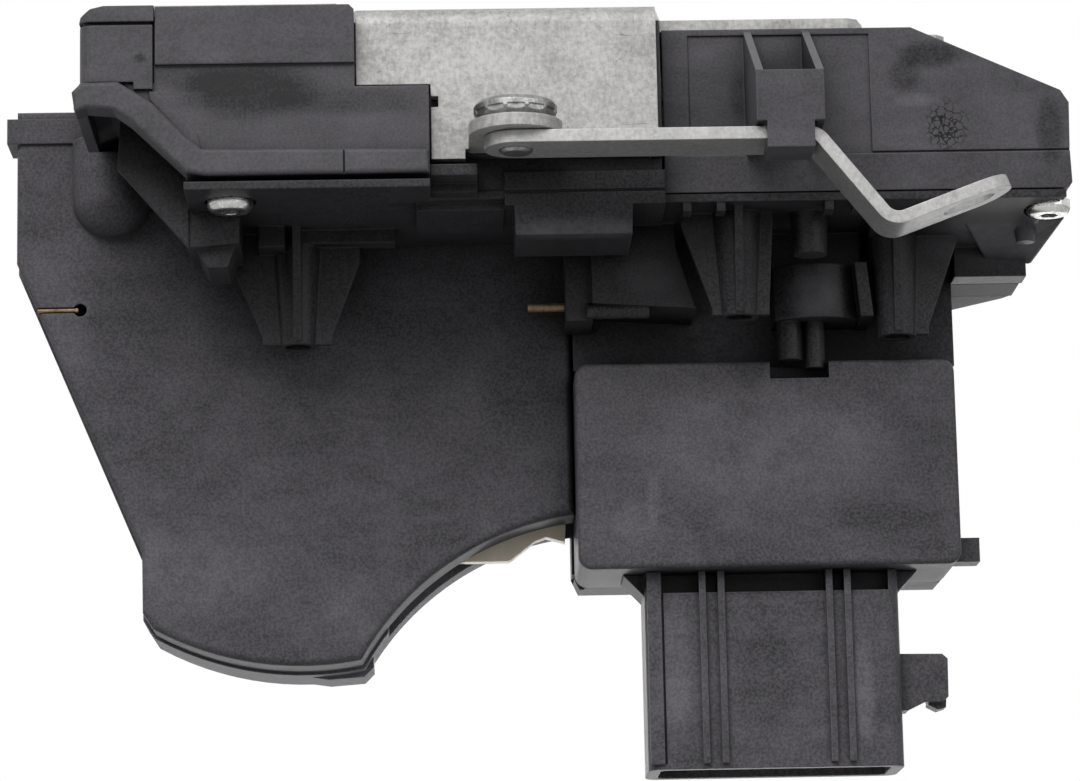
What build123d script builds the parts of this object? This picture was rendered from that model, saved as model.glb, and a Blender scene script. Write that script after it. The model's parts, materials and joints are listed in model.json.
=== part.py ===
"""Side-door latch with its lock actuator, as an assembly of separate pieces.

Millimetres.  +Z leaves the outer face of the latch's face plate, towards the door's shut face.
+X runs along the plate and +Y runs from the outside lever back to the actuator.
The origin is the axis of the middle face bolt, at the plate's outer face.
"""
from build123d import *
from math import cos, hypot, pi, radians, sin
import os

# ---------------------------------------------------------------- driving dimensions
FIT = 0.2                 # air between two pieces that are assembled face to face
SLIDE_FIT = 0.4           # air beside a lever or a cam that moves
PIN_FIT = 0.05            # radial air of a running pin
WALL = 1.8                # moulded wall
RIB = 1.4                 # moulded rib

# face plate
PLATE_T = 2.0
PLATE_LEFT = -101.4
PLATE_RIGHT = 36.0
PLATE_BACK = 17.5
PLATE_FRONT_L = -18.4     # front edge over the left block
PLATE_FRONT_R = -6.5      # front edge over the side housing
PLATE_NOTCH = (22.0, 3.6)  # inner corner of the step at the front right
BOLT_LEFT = (-72.0, 10.0)
BOLT_MID = (0.0, 0.0)
BOLT_RIGHT = (26.7, 9.0)
THREAD_R = 2.5            # M6 tapping radius
COLLAR_R = 4.4
COLLAR_H = 6.0            # outer face of the plate to the end of the extruded collar
BOLT_TUBE_R = 3.3         # clearance for the bolt's shank below the collar

# striker mouth
MOUTH_X = -36.0
MOUTH_W = 14.0
MOUTH_END = -6.0          # closed end of the mouth
MOUTH_FLARE = 2.5
STRIKER_R = 4.5
BUMP_Y = -8.2             # soft stop behind the mouth's closed end

# tongue: the flange of the face plate that is bent down in front
TONGUE_LEFT = -61.5
TONGUE_RIGHT = -13.3
TONGUE_FRONT = -17.0
TONGUE_BOTTOM = -24.0
TONGUE_STEP = -13.2
TONGUE_LEG = (-49.6, -44.2)
TONGUE_LEG_BOTTOM = -25.6
BEND_R = 3.0

# outside lever and its ear
LEVER_PIVOT = (-36.3, -25.0)
LEVER_W = 10.0
LEVER_T = 2.0
LEVER_TOP = -24.4
EAR_R = 7.4
EAR_T = 2.0
RIVET_HEAD_R = 6.6
RIVET_R = 2.6
LEVER_END = 41.3

# claw and pawl
CLAW_PIVOT = (-50.5, -1.0)
CLAW_TOP = -3.6
CLAW_T = 4.6
CLAW_ARM_R = 17.3
CLAW_DISC_R = 9.5
CLAW_RECESS_R = 7.5
CLAW_TRAVEL = 60.0
PIVOT_PIN_R = 3.0
PAWL_PIVOT = (-19.0, -4.0)
PAWL_HUB_R = 4.8
PAWL_T = 4.0

# latch housing (left and middle)
BLOCK_LEFT = -105.5
BLOCK_FRONT = -20.0
BLOCK_PANEL = -19.3       # recessed lower panel of the block's front
BLOCK_RIGHT = -49.9
CLAW_CLEAR = 0.6          # air between the claw's sweep and the pocket's back wall
POCKET_BACK = CLAW_PIVOT[1] + CLAW_ARM_R + CLAW_CLEAR
POCKET_WALL = 1.6
HOUSING_BACK = POCKET_BACK + POCKET_WALL
HOUSING_BOTTOM = -24.6
HOUSING_RIGHT = -12.6
FLOOR_TOP = -10.0         # floor of the claw pocket
FLOOR_T = 2.4
RIM_FRONT = -22.0
RIM_H = 4.7

# side housing (right)
SIDE_FRONT = -10.0
SIDE_TOP = -2.7
SIDE_RIGHT = 54.0
SIDE_ROOF = (-6.3, -7.9)   # the housing's roof under the face plate
SIDE_CREASE = -23.4
BRACKET_FRONT = -32.0
BRACKET_LEFT = 1.3
BRACKET_RIGHT = 12.0
BRACKET_TOP = -15.8
BRACKET_BOTTOM = -24.0
BRACKET_WALL = 1.2

# lower cover and its towers
LID_TOP = -29.9
LID_T = 1.3
TOWER_BOTTOM = -48.5      # middle tower
TOWER_BOTTOM_SIDE = -50.2  # left and right towers
TOWER_TOP_R = 4.2
TOWER_END_R = 3.2
TOWER_BORE_R = 2.2

# actuator
HOUSING_GAP = 0.5         # air between the latch's housings and the actuator
COVER_FRONT = HOUSING_BACK + HOUSING_GAP
COVER_DEPTH = 9.0
BASE_BACK = 42.0
GEAR_AXIS = (-66.0, -58.0)
GEAR_TEETH = 36
GEAR_R = 18.0             # pitch radius
WORM_R = 4.0              # pitch radius
MOTOR_R = 7.6
SHAFT_Y = 30.5
LOCK_AXIS = (-38.0, -47.0)
INSIDE_AXIS = (-34.0, -64.0)

# connector
BOX_LEFT = -26.6
BOX_RIGHT = 36.3
BOX_TOP = -53.4
BOX_BOTTOM = -87.7
BOX_FRONT = 11.0
BOX_BACK = 32.0
SHROUD_LEFT = -15.7
SHROUD_RIGHT = 26.2
SHROUD_FRONT = 15.0
SHROUD_BACK = 31.6
SHROUD_BOTTOM = -120.3
SHROUD_WALL = 2.0

# screws
SCREW_HEAD_R = 3.7
SCREW_HEAD_H = 2.3
SCREW_R = 1.6
SCREW_BOSS_R = 3.8
SCREW_LEN = 9.0
SCREW_LEFT = (-81.9, -13.0)
SCREW_RIGHT = (50.9, -3.0)
SCREW_REAR = (-82.0, 14.2)
SCREW_SEAT = 0.6          # how far a screw's head sinks into the lower cover

os.makedirs("parts", exist_ok=True)


# ---------------------------------------------------------------- shared forms
def front_face(points, y):
    """A face with its outline in X and Z, looking towards the front, at this Y."""
    with BuildSketch(Plane.XZ.offset(-y)) as sketch:
        with BuildLine():
            Polyline(*points, close=True)
        make_face()
    return sketch.sketch


def top_face(points, z):
    """A face with its outline in X and Y, looking up, at this Z."""
    with BuildSketch(Plane.XY.offset(z)) as sketch:
        with BuildLine():
            Polyline(*points, close=True)
        make_face()
    return sketch.sketch


def side_face(points, x):
    """A face with its outline in Y and Z, looking right, at this X."""
    with BuildSketch(Plane.YZ.offset(x)) as sketch:
        with BuildLine():
            Polyline(*points, close=True)
        make_face()
    return sketch.sketch


def box(x, y, z, mode=Mode.ADD):
    """Add or cut a box between two X, two Y and two Z values."""
    with Locations(((x[0] + x[1]) / 2, (y[0] + y[1]) / 2, (z[0] + z[1]) / 2)):
        Box(abs(x[1] - x[0]), abs(y[1] - y[0]), abs(z[1] - z[0]), mode=mode)


def post(place, radius, top, bottom, end_radius=None, mode=Mode.ADD):
    """Add or cut an upright round post at an X and Y, straight or tapered."""
    with Locations((place[0], place[1], (top + bottom) / 2)):
        if end_radius is None:
            Cylinder(radius, top - bottom, mode=mode)
        else:
            Cone(end_radius, radius, top - bottom, mode=mode)


def rod_y(place, radius, front, back, mode=Mode.ADD):
    """Add or cut a round rod along Y at an X and Z."""
    with Locations(Location((place[0], (front + back) / 2, place[1]), (90, 0, 0))):
        Cylinder(radius, back - front, mode=mode)


def rod_x(place, radius, left, right, mode=Mode.ADD):
    """Add or cut a round rod along X at a Y and Z."""
    with Locations(Location(((left + right) / 2, place[0], place[1]), (0, 90, 0))):
        Cylinder(radius, right - left, mode=mode)


def save(builder, label):
    """Label a finished piece and write its STEP file."""
    builder.part.label = label
    export_step(builder.part, f"parts/{label}.step")


# ---------------------------------------------------------------- face plate
MOUTH_L = MOUTH_X - MOUTH_W / 2
MOUTH_R = MOUTH_X + MOUTH_W / 2
MOUTH_CENTRE_Y = MOUTH_END + MOUTH_W / 2
TONGUE_INNER = TONGUE_FRONT + PLATE_T
BEND_START = TONGUE_FRONT + BEND_R
PLATE_OUTLINE = [
    (PLATE_LEFT, PLATE_FRONT_L + 4),
    (PLATE_LEFT + 3, PLATE_FRONT_L),
    (TONGUE_LEFT - 3, PLATE_FRONT_L),
    (TONGUE_LEFT - 3, BEND_START),
    (TONGUE_RIGHT, BEND_START),
    (TONGUE_RIGHT + 1.3, PLATE_FRONT_R),
    (PLATE_NOTCH[0] - 3.2, PLATE_FRONT_R),
    (PLATE_NOTCH[0] - 1.6, PLATE_FRONT_R + 0.9),
    (PLATE_NOTCH[0] - 0.4, PLATE_NOTCH[1] - 5.6),
    PLATE_NOTCH,
    (PLATE_RIGHT - 1.5, PLATE_NOTCH[1]),
    (PLATE_RIGHT, PLATE_NOTCH[1] + 1.4),
    (PLATE_RIGHT, PLATE_BACK - 4),
    (PLATE_RIGHT - 4, PLATE_BACK),
    (PLATE_LEFT + 4, PLATE_BACK),
    (PLATE_LEFT, PLATE_BACK - 4),
]
TONGUE_OUTLINE = [
    (TONGUE_LEFT, -BEND_R),
    (TONGUE_RIGHT, -BEND_R),
    (TONGUE_RIGHT, TONGUE_BOTTOM + 1.5),
    (TONGUE_RIGHT - 1.5, TONGUE_BOTTOM),
    (TONGUE_LEG[1], TONGUE_BOTTOM),
    (TONGUE_LEG[1], TONGUE_LEG_BOTTOM),
    (TONGUE_LEG[0], TONGUE_LEG_BOTTOM),
    (TONGUE_LEG[0], TONGUE_STEP),
    (TONGUE_LEFT, TONGUE_STEP),
]
EAR_TOP = LEVER_TOP + FIT + EAR_T

with BuildPart() as face_plate:
    extrude(top_face(PLATE_OUTLINE, 0), amount=-PLATE_T)
    # the bend between the plate and its tongue, as a quarter ring
    with BuildSketch(Plane.YZ.offset(TONGUE_LEFT)) as bend_section:
        with Locations((BEND_START, -BEND_R)):
            Circle(BEND_R)
            Circle(BEND_R - PLATE_T, mode=Mode.SUBTRACT)
        with Locations((BEND_START + BEND_R, -BEND_R)):
            Rectangle(2 * BEND_R, 4 * BEND_R, mode=Mode.SUBTRACT)
        with Locations((BEND_START, -2 * BEND_R)):
            Rectangle(4 * BEND_R, 2 * BEND_R, mode=Mode.SUBTRACT)
    extrude(amount=TONGUE_RIGHT - TONGUE_LEFT)
    extrude(front_face(TONGUE_OUTLINE, TONGUE_FRONT), amount=-PLATE_T)
    box(
        (TONGUE_LEG[0] - 0.1, TONGUE_LEG[0] + 1.2), (TONGUE_FRONT - 1, TONGUE_INNER + 1),
        (-15.2, -17.0),
        mode=Mode.SUBTRACT,
    )
    # the ear that carries the outside lever, bent forward from the tongue's lower edge
    with BuildSketch(Plane.XY.offset(EAR_TOP)) as ear_shape:
        with Locations(LEVER_PIVOT):
            Circle(EAR_R)
        with Locations((LEVER_PIVOT[0], (LEVER_PIVOT[1] + TONGUE_INNER) / 2)):
            Rectangle(2 * EAR_R, TONGUE_INNER - LEVER_PIVOT[1])
    extrude(amount=-EAR_T)
    # three collars are drawn down out of the sheet for the face bolts
    for place in (BOLT_LEFT, BOLT_MID, BOLT_RIGHT):
        post(place, COLLAR_R, -PLATE_T, -COLLAR_H, end_radius=COLLAR_R - 0.4)
    for place in (BOLT_LEFT, BOLT_MID, BOLT_RIGHT):
        post(place, THREAD_R, 0, -COLLAR_H, mode=Mode.SUBTRACT)
    # striker mouth, open at the back edge with flared lips
    with BuildSketch() as mouth_shape:
        with Locations((MOUTH_X, MOUTH_CENTRE_Y)):
            Circle(MOUTH_W / 2)
        with Locations((MOUTH_X, (MOUTH_CENTRE_Y + PLATE_BACK) / 2)):
            Rectangle(MOUTH_W, PLATE_BACK - MOUTH_CENTRE_Y)
        with BuildLine():
            Polyline(
                (MOUTH_L, PLATE_BACK - 2 * MOUTH_FLARE),
                (MOUTH_R, PLATE_BACK - 2 * MOUTH_FLARE),
                (MOUTH_R + MOUTH_FLARE, PLATE_BACK),
                (MOUTH_L - MOUTH_FLARE, PLATE_BACK),
                close=True,
            )
        make_face()
    extrude(amount=-PLATE_T, mode=Mode.SUBTRACT)
    # holes for the riveted ends of the claw's and the pawl's pins, and for the lever's rivet
    for place in (CLAW_PIVOT, PAWL_PIVOT):
        post(place, PIVOT_PIN_R - 0.6, 0, -PLATE_T, mode=Mode.SUBTRACT)
    post(LEVER_PIVOT, RIVET_R, EAR_TOP, EAR_TOP - EAR_T, mode=Mode.SUBTRACT)
save(face_plate, "face_plate")

# ---------------------------------------------------------------- latch housing
HOUSING_TOP = -PLATE_T - 0.1
PROFILE_LEFT = [
    (BLOCK_LEFT, HOUSING_TOP),
    (HOUSING_RIGHT, HOUSING_TOP),
    (HOUSING_RIGHT, HOUSING_BOTTOM),
    (-86.0, HOUSING_BOTTOM),
    (-93.7, -16.8),
    (-98.5, -13.2),
    (-102.1, -13.2),
    (BLOCK_LEFT, -14.6),
]
RIM_UPPER = [
    (-106.5, -15.0),
    (-105.0, -13.5),
    (-99.2, -13.4),
    (-96.8, -14.9),
    (-93.5, -17.1),
    (-88.4, -22.6),
    (-85.9, -24.6),
    (BLOCK_RIGHT, -25.0),
]
RIM_LOWER = [
    (BLOCK_RIGHT, -28.9),
    (-85.1, -29.0),
    (-88.4, -28.5),
    (-97.3, -19.9),
    (-99.8, -18.1),
    (-104.1, -17.7),
    (-106.0, -18.4),
]
STRIP = [(-94.4, -14.5), (-93.1, -14.6), (-86.9, -21.4), (-86.2, -23.9), (-87.4, -23.6), (-94.2, -15.9)]
BAND_LEFT = -93.4
BAND_TOP = -0.6
BAND_BOTTOM = -10.2
CAP_BOTTOM = -13.0        # lower edge of the end cap's panels
SEAM_X = -63.6
SEAM_W = 0.3
FLOOR_BOTTOM = FLOOR_TOP - FLOOR_T
POCKET_X = (-62.0, HOUSING_RIGHT - 1.1)
POCKET_Y = (-13.6, POCKET_BACK)
CAVITY_X = (-76.0, HOUSING_RIGHT - WALL)
CAVITY_Y = (-12.9, 16.7)

with BuildPart() as latch_housing:
    extrude(front_face(PROFILE_LEFT, BLOCK_PANEL), amount=-(HOUSING_BACK - BLOCK_PANEL))
    # the front's upper band stands proud of the lower panel
    band = [
        (BAND_LEFT, BAND_TOP),
        (TONGUE_LEFT - FIT - 0.8, BAND_TOP),
        (TONGUE_LEFT - FIT, BAND_TOP - 0.8),
        (TONGUE_LEFT - FIT, BAND_BOTTOM),
        (BAND_LEFT, BAND_BOTTOM),
    ]
    extrude(front_face(band, BLOCK_FRONT), amount=-(BLOCK_PANEL - BLOCK_FRONT))
    box((BAND_LEFT, TONGUE_LEFT - FIT - 0.8), (BLOCK_PANEL, PLATE_FRONT_L - 0.1), (BAND_TOP, HOUSING_TOP))
    # slanted strip that follows the corner's diagonal
    extrude(front_face(STRIP, BLOCK_PANEL - 0.3), amount=-0.3)
    # soft-edged rim along the lower edge, and the skirt that carries it round the end
    extrude(front_face(RIM_UPPER + RIM_LOWER, RIM_FRONT), amount=-(BLOCK_PANEL + 2.0 - RIM_FRONT))
    fillet(latch_housing.faces().sort_by(Axis.Y)[0].edges(), 0.7)
    box((-106.2, -104.4), (RIM_FRONT + 1.0, 6.0), (-15.2, -17.6))
    box((SEAM_X, SEAM_X + SEAM_W), (RIM_FRONT - 1, RIM_FRONT + 0.5), (-20, -30), mode=Mode.SUBTRACT)
    # room for the end cap
    box(
        (BLOCK_LEFT - 1, BAND_LEFT - FIT), (BLOCK_FRONT - 2, BLOCK_FRONT + WALL),
        (0, CAP_BOTTOM - 0.05),
        mode=Mode.SUBTRACT,
    )
    box(
        (BLOCK_LEFT - 1, BLOCK_LEFT + WALL), (BLOCK_FRONT - 2, 12.0), (0, CAP_BOTTOM - 0.05),
        mode=Mode.SUBTRACT,
    )
    # recess for the tongue, with the block's right part left standing in front of it
    box(
        (TONGUE_LEFT - FIT, 0), (BLOCK_FRONT - 3, TONGUE_FRONT - FIT), (0, TONGUE_STEP - 0.8),
        mode=Mode.SUBTRACT,
    )
    box((TONGUE_LEFT - FIT, 0), (TONGUE_FRONT - FIT, TONGUE_INNER + FIT), (0, -40), mode=Mode.SUBTRACT)
    box((BLOCK_RIGHT, 0), (RIM_FRONT - 1, TONGUE_INNER + FIT), (0, -40), mode=Mode.SUBTRACT)
    box(
        (TONGUE_LEFT - FIT, 0), (TONGUE_INNER - 0.1, BEND_START + 0.3), (0, -BEND_R - 0.3),
        mode=Mode.SUBTRACT,
    )
    box((TONGUE_LEFT - 3.2, TONGUE_LEFT), (PLATE_FRONT_L - 0.1, TONGUE_INNER), (0, -4), mode=Mode.SUBTRACT)
    # claw and pawl pocket, open to the face plate
    box(POCKET_X, POCKET_Y, (HOUSING_TOP, FLOOR_TOP), mode=Mode.SUBTRACT)
    # the pocket runs on round the collar of the left face bolt
    collar_pocket = (BOLT_LEFT[0] - COLLAR_R - 2.0, POCKET_X[0] + 1)
    box(
        collar_pocket, (BOLT_LEFT[1] - COLLAR_R - 2.0, POCKET_Y[1]), (HOUSING_TOP, FLOOR_TOP),
        mode=Mode.SUBTRACT,
    )
    box(
        (-52.0, -30.0), (TONGUE_FRONT, POCKET_Y[0]), (CLAW_TOP, CLAW_TOP - CLAW_T - 0.4),
        mode=Mode.SUBTRACT,
    )
    # striker channel through the back wall and down into the floor
    box((MOUTH_L, MOUTH_R), (MOUTH_END - 1, HOUSING_BACK + 1), (HOUSING_TOP, -22.0), mode=Mode.SUBTRACT)
    # underside cavity for the back plate and the release levers, with a tube left round the bolt
    box(CAVITY_X, CAVITY_Y, (FLOOR_BOTTOM, -40), mode=Mode.SUBTRACT)
    post(BOLT_LEFT, BOLT_TUBE_R + RIB, FLOOR_BOTTOM, HOUSING_BOTTOM)
    # clearance for the shank of the left face bolt
    post(BOLT_LEFT, BOLT_TUBE_R, HOUSING_TOP, -40, mode=Mode.SUBTRACT)
    # pin seats
    for place in (CLAW_PIVOT, PAWL_PIVOT):
        post(place, PIVOT_PIN_R + 0.05, HOUSING_TOP, -30, mode=Mode.SUBTRACT)
    # recess for the claw's return spring
    post(CLAW_PIVOT, 5.4, FLOOR_TOP, FLOOR_TOP - FLOOR_T, mode=Mode.SUBTRACT)
    # seat of the bump stop, across the closed end of the mouth
    box(
        (MOUTH_X - 6.2, MOUTH_X + 6.2), (BUMP_Y - 1.2, BUMP_Y + 1.2), (FLOOR_TOP + 1, -22.0),
        mode=Mode.SUBTRACT,
    )
    # screw bosses and bores
    for place in (SCREW_LEFT, SCREW_REAR):
        post(place, SCREW_BOSS_R, HOUSING_BOTTOM, LID_TOP + FIT)
    for place in (SCREW_LEFT, SCREW_REAR):
        post(place, SCREW_R + FIT, LID_TOP + SCREW_LEN, HOUSING_BOTTOM - 10, mode=Mode.SUBTRACT)
save(latch_housing, "latch_housing")

# ---------------------------------------------------------------- end cap
CAP_OUT = 0.4             # how far the cap's flange overhangs the block
CAP_TOP = -0.5
CAP_UNDER = -3.1          # underside of the flange
CAP_PANEL = -3.6          # top of the panels, below the shadow gap
CAP_FOOT = -14.2          # lower edge of the front panel's right end
CAP_RIGHT = BAND_LEFT - FIT

with BuildPart() as end_cap:
    # front panel and left panel, joined by a rounded upright corner
    with BuildSketch(Plane.XY.offset(CAP_PANEL)) as cap_plan:
        with BuildLine():
            Polyline(
                (BLOCK_LEFT, 11.8),
                (BLOCK_LEFT, BLOCK_FRONT),
                (CAP_RIGHT - FIT, BLOCK_FRONT),
                (CAP_RIGHT - FIT, BLOCK_FRONT + WALL - FIT),
                (BLOCK_LEFT + WALL - FIT, BLOCK_FRONT + WALL - FIT),
                (BLOCK_LEFT + WALL - FIT, 11.8),
                close=True,
            )
        make_face()
        fillet(cap_plan.vertices().group_by(Axis.Y)[0].sort_by(Axis.X)[0], 2.2)
    extrude(amount=-(CAP_PANEL - CAP_BOTTOM))
    # the front panel runs a little lower than the left one, over the rim
    box(
        (CAP_RIGHT - FIT - 3.0, CAP_RIGHT - FIT), (BLOCK_FRONT, BLOCK_PANEL - 0.1),
        (CAP_BOTTOM + 0.1, CAP_FOOT),
    )
    # overhanging flange, with a shadow gap below it
    with BuildSketch(Plane.XY.offset(CAP_TOP)) as flange_plan:
        with BuildLine():
            Polyline(
                (BLOCK_LEFT - CAP_OUT, 11.8),
                (BLOCK_LEFT - CAP_OUT, BLOCK_FRONT - CAP_OUT),
                (CAP_RIGHT, BLOCK_FRONT - CAP_OUT),
                (CAP_RIGHT, PLATE_FRONT_L - FIT),
                (PLATE_LEFT - FIT, PLATE_FRONT_L - FIT),
                (PLATE_LEFT - FIT, 11.8),
                close=True,
            )
        make_face()
        fillet(flange_plan.vertices().group_by(Axis.Y)[0].sort_by(Axis.X)[0], 2.6)
    extrude(amount=-(CAP_TOP - CAP_UNDER))
    # the flange's inner part rests on the block
    box(
        (BLOCK_LEFT + WALL - FIT, 0), (BLOCK_FRONT + WALL - FIT, 20), (HOUSING_TOP + 0.05, -5),
        mode=Mode.SUBTRACT,
    )
    # neck between the flange and the panels, set back to leave the gap
    box(
        (BLOCK_LEFT + 0.7, BLOCK_LEFT + WALL - FIT), (BLOCK_FRONT + 2, 11.6),
        (CAP_UNDER + 0.5, CAP_PANEL - 0.5),
    )
    box(
        (BLOCK_LEFT + 0.7, CAP_RIGHT - 0.6), (BLOCK_FRONT + 0.7, BLOCK_FRONT + WALL - FIT),
        (CAP_UNDER + 0.5, CAP_PANEL - 0.5),
    )
    # rounded upper corner
    corner_cut = [
        (BLOCK_LEFT - 2, 1.0),
        (PLATE_LEFT - FIT, 1.0),
        (PLATE_LEFT - FIT, CAP_TOP),
        (-103.7, -1.0),
        (-105.3, -2.2),
        (BLOCK_LEFT - CAP_OUT, -4.6),
        (BLOCK_LEFT - 2, -4.6),
    ]
    extrude(front_face(corner_cut, BLOCK_FRONT - 2), amount=-40, mode=Mode.SUBTRACT)
save(end_cap, "end_cap")

# ---------------------------------------------------------------- side housing
SIDE_PROFILE = [
    (HOUSING_RIGHT + 0.6, SIDE_TOP),
    (28.6, SIDE_TOP),
    (52.6, -13.6),
    (SIDE_RIGHT - 0.1, -15.7),
    (SIDE_RIGHT - 0.3, SIDE_CREASE),
    (SIDE_RIGHT, -28.9),
    (SIDE_RIGHT - 0.6, LID_TOP + FIT),
    (HOUSING_RIGHT + 0.6, LID_TOP + FIT),
]
SIDE_INNER = [
    (HOUSING_RIGHT + 0.6 + WALL, SIDE_ROOF[1]),
    (31.4, SIDE_ROOF[1]),
    (50.6, -16.0),
    (SIDE_RIGHT - 0.3 - WALL, -18.0),
    (SIDE_RIGHT - 0.3 - WALL, -40.0),
    (HOUSING_RIGHT + 0.6 + WALL, -40.0),
]

with BuildPart() as side_housing:
    extrude(front_face(SIDE_PROFILE, SIDE_FRONT), amount=-(HOUSING_BACK - SIDE_FRONT))
    # below the crease the front wall leans back
    lean = [
        (SIDE_FRONT - 1, SIDE_CREASE),
        (SIDE_FRONT, SIDE_CREASE),
        (SIDE_FRONT + 0.9, -31),
        (SIDE_FRONT - 1, -31),
    ]
    extrude(side_face(lean, -14), amount=70, mode=Mode.SUBTRACT)
    # shadow line along the crease
    box(
        (-14, SIDE_RIGHT), (SIDE_FRONT - 1, SIDE_FRONT + 0.35),
        (SIDE_CREASE, SIDE_CREASE - 0.35),
        mode=Mode.SUBTRACT,
    )
    # the middle panel, left of the long seam, lies a little deeper
    box(
        (-7.8, 21.7), (SIDE_FRONT - 1, SIDE_FRONT + 0.35), (SIDE_TOP - 1.0, SIDE_CREASE),
        mode=Mode.SUBTRACT,
    )
    # hollow from below
    depth = HOUSING_BACK - SIDE_FRONT - 0.35 - 2 * WALL
    extrude(front_face(SIDE_INNER, SIDE_FRONT + 0.35 + WALL), amount=-depth, mode=Mode.SUBTRACT)
    # the roof is sunk under the face plate, to give the collars room
    roof_x = (SIDE_INNER[0][0], BOLT_RIGHT[0] + COLLAR_R + 0.7)
    roof_y = (SIDE_FRONT + 0.35 + WALL, HOUSING_BACK - WALL)
    box(roof_x, roof_y, (SIDE_TOP + 1, SIDE_ROOF[0]), mode=Mode.SUBTRACT)
    # bolt tubes reach down through the hollow
    for place in (BOLT_MID, BOLT_RIGHT):
        post(place, BOLT_TUBE_R + RIB, SIDE_ROOF[0], LID_TOP + FIT)
    for place in (BOLT_MID, BOLT_RIGHT):
        post(place, BOLT_TUBE_R, 0, -40, mode=Mode.SUBTRACT)
    # screw boss in the right corner
    post(SCREW_RIGHT, SCREW_BOSS_R - 0.8, SIDE_TOP - 14, LID_TOP + FIT)
    post(SCREW_RIGHT, SCREW_R + FIT, LID_TOP + 8, -40, mode=Mode.SUBTRACT)
    # bracket that guides the outside lever: two sloping walls and a front panel
    bracket_side = [
        (SIDE_FRONT + 0.6, SIDE_TOP),
        (BRACKET_FRONT, BRACKET_TOP),
        (BRACKET_FRONT, BRACKET_BOTTOM),
        (SIDE_FRONT + 0.6, BRACKET_BOTTOM),
    ]
    extrude(side_face(bracket_side, BRACKET_LEFT), amount=BRACKET_WALL)
    extrude(side_face(bracket_side, BRACKET_RIGHT - BRACKET_WALL), amount=BRACKET_WALL)
    box(
        (BRACKET_LEFT, BRACKET_RIGHT), (BRACKET_FRONT, BRACKET_FRONT + BRACKET_WALL),
        (BRACKET_TOP, BRACKET_BOTTOM),
    )
    # finger that hooks down in front of the lever and back under it
    box(
        (2.9, 10.3), (BRACKET_FRONT, BRACKET_FRONT + BRACKET_WALL),
        (BRACKET_BOTTOM, LEVER_TOP - LEVER_T - 1.9),
    )
    box(
        (2.9, 10.3), (BRACKET_FRONT, BRACKET_FRONT + 8.5),
        (LEVER_TOP - LEVER_T - 0.5, LEVER_TOP - LEVER_T - 1.9),
    )
save(side_housing, "side_housing")

# ---------------------------------------------------------------- lower cover
LID_LEFT = -88.8
LID_RIGHT = SIDE_RIGHT - 1.0
LID_FRONT = -21.5         # front edge below the rim
LID_OUTLINE = [
    (LID_LEFT, LID_FRONT),
    (BLOCK_RIGHT, LID_FRONT),
    (BLOCK_RIGHT, -13.0),
    (-12.2, -13.0),
    (-12.2, SIDE_FRONT + 1.0),
    (LID_RIGHT, SIDE_FRONT + 1.0),
    (LID_RIGHT - 3.0, HOUSING_BACK),
    (LID_LEFT, HOUSING_BACK),
]
LID_BOTTOM = LID_TOP - LID_T
SKIRT_TOP = HOUSING_BOTTOM - FIT
SLOPE_BACK = LID_BOTTOM - 3.6   # underside of the right part, at its back edge
FOOT_X = (-89.0, -80.7)
FOOT_FRONT = -8.6
BLOCK_X = (37.2, 49.2)
BLOCK_END = -39.2
WING_T = 1.4
TOWERS = [
    (BOLT_LEFT, TOWER_BOTTOM_SIDE, [(-11.2, -5.8, -35.5), (10.3, 5.6, -36.1)]),
    (BOLT_MID, TOWER_BOTTOM, [(-9.2, -4.4, -33.0), (5.9, 4.9, -32.6)]),
    (BOLT_RIGHT, TOWER_BOTTOM_SIDE, [(10.9, 5.2, -33.0)]),
]


def tower(place, bottom, wings):
    """A tapered, open-ended tower with flat wings beside it and one rib in front of it."""
    post(place, TOWER_TOP_R, LID_BOTTOM, bottom, end_radius=TOWER_END_R)
    for top_x, end_x, top_z in wings:
        wing = [
            (place[0], LID_BOTTOM),
            (place[0] + top_x, LID_BOTTOM),
            (place[0] + top_x, top_z),
            (place[0] + end_x, bottom + 1.4),
            (place[0] + end_x, bottom + 0.2),
            (place[0], bottom + 0.2),
        ]
        extrude(front_face(wing, place[1] - WING_T), amount=-WING_T)
    front_rib = [
        (place[1], LID_BOTTOM),
        (place[1] - TOWER_TOP_R - 2.2, LID_BOTTOM),
        (place[1] - TOWER_END_R - 0.3, bottom + 0.4),
        (place[1], bottom + 0.4),
    ]
    extrude(side_face(front_rib, place[0] - WING_T / 2), amount=WING_T)


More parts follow.
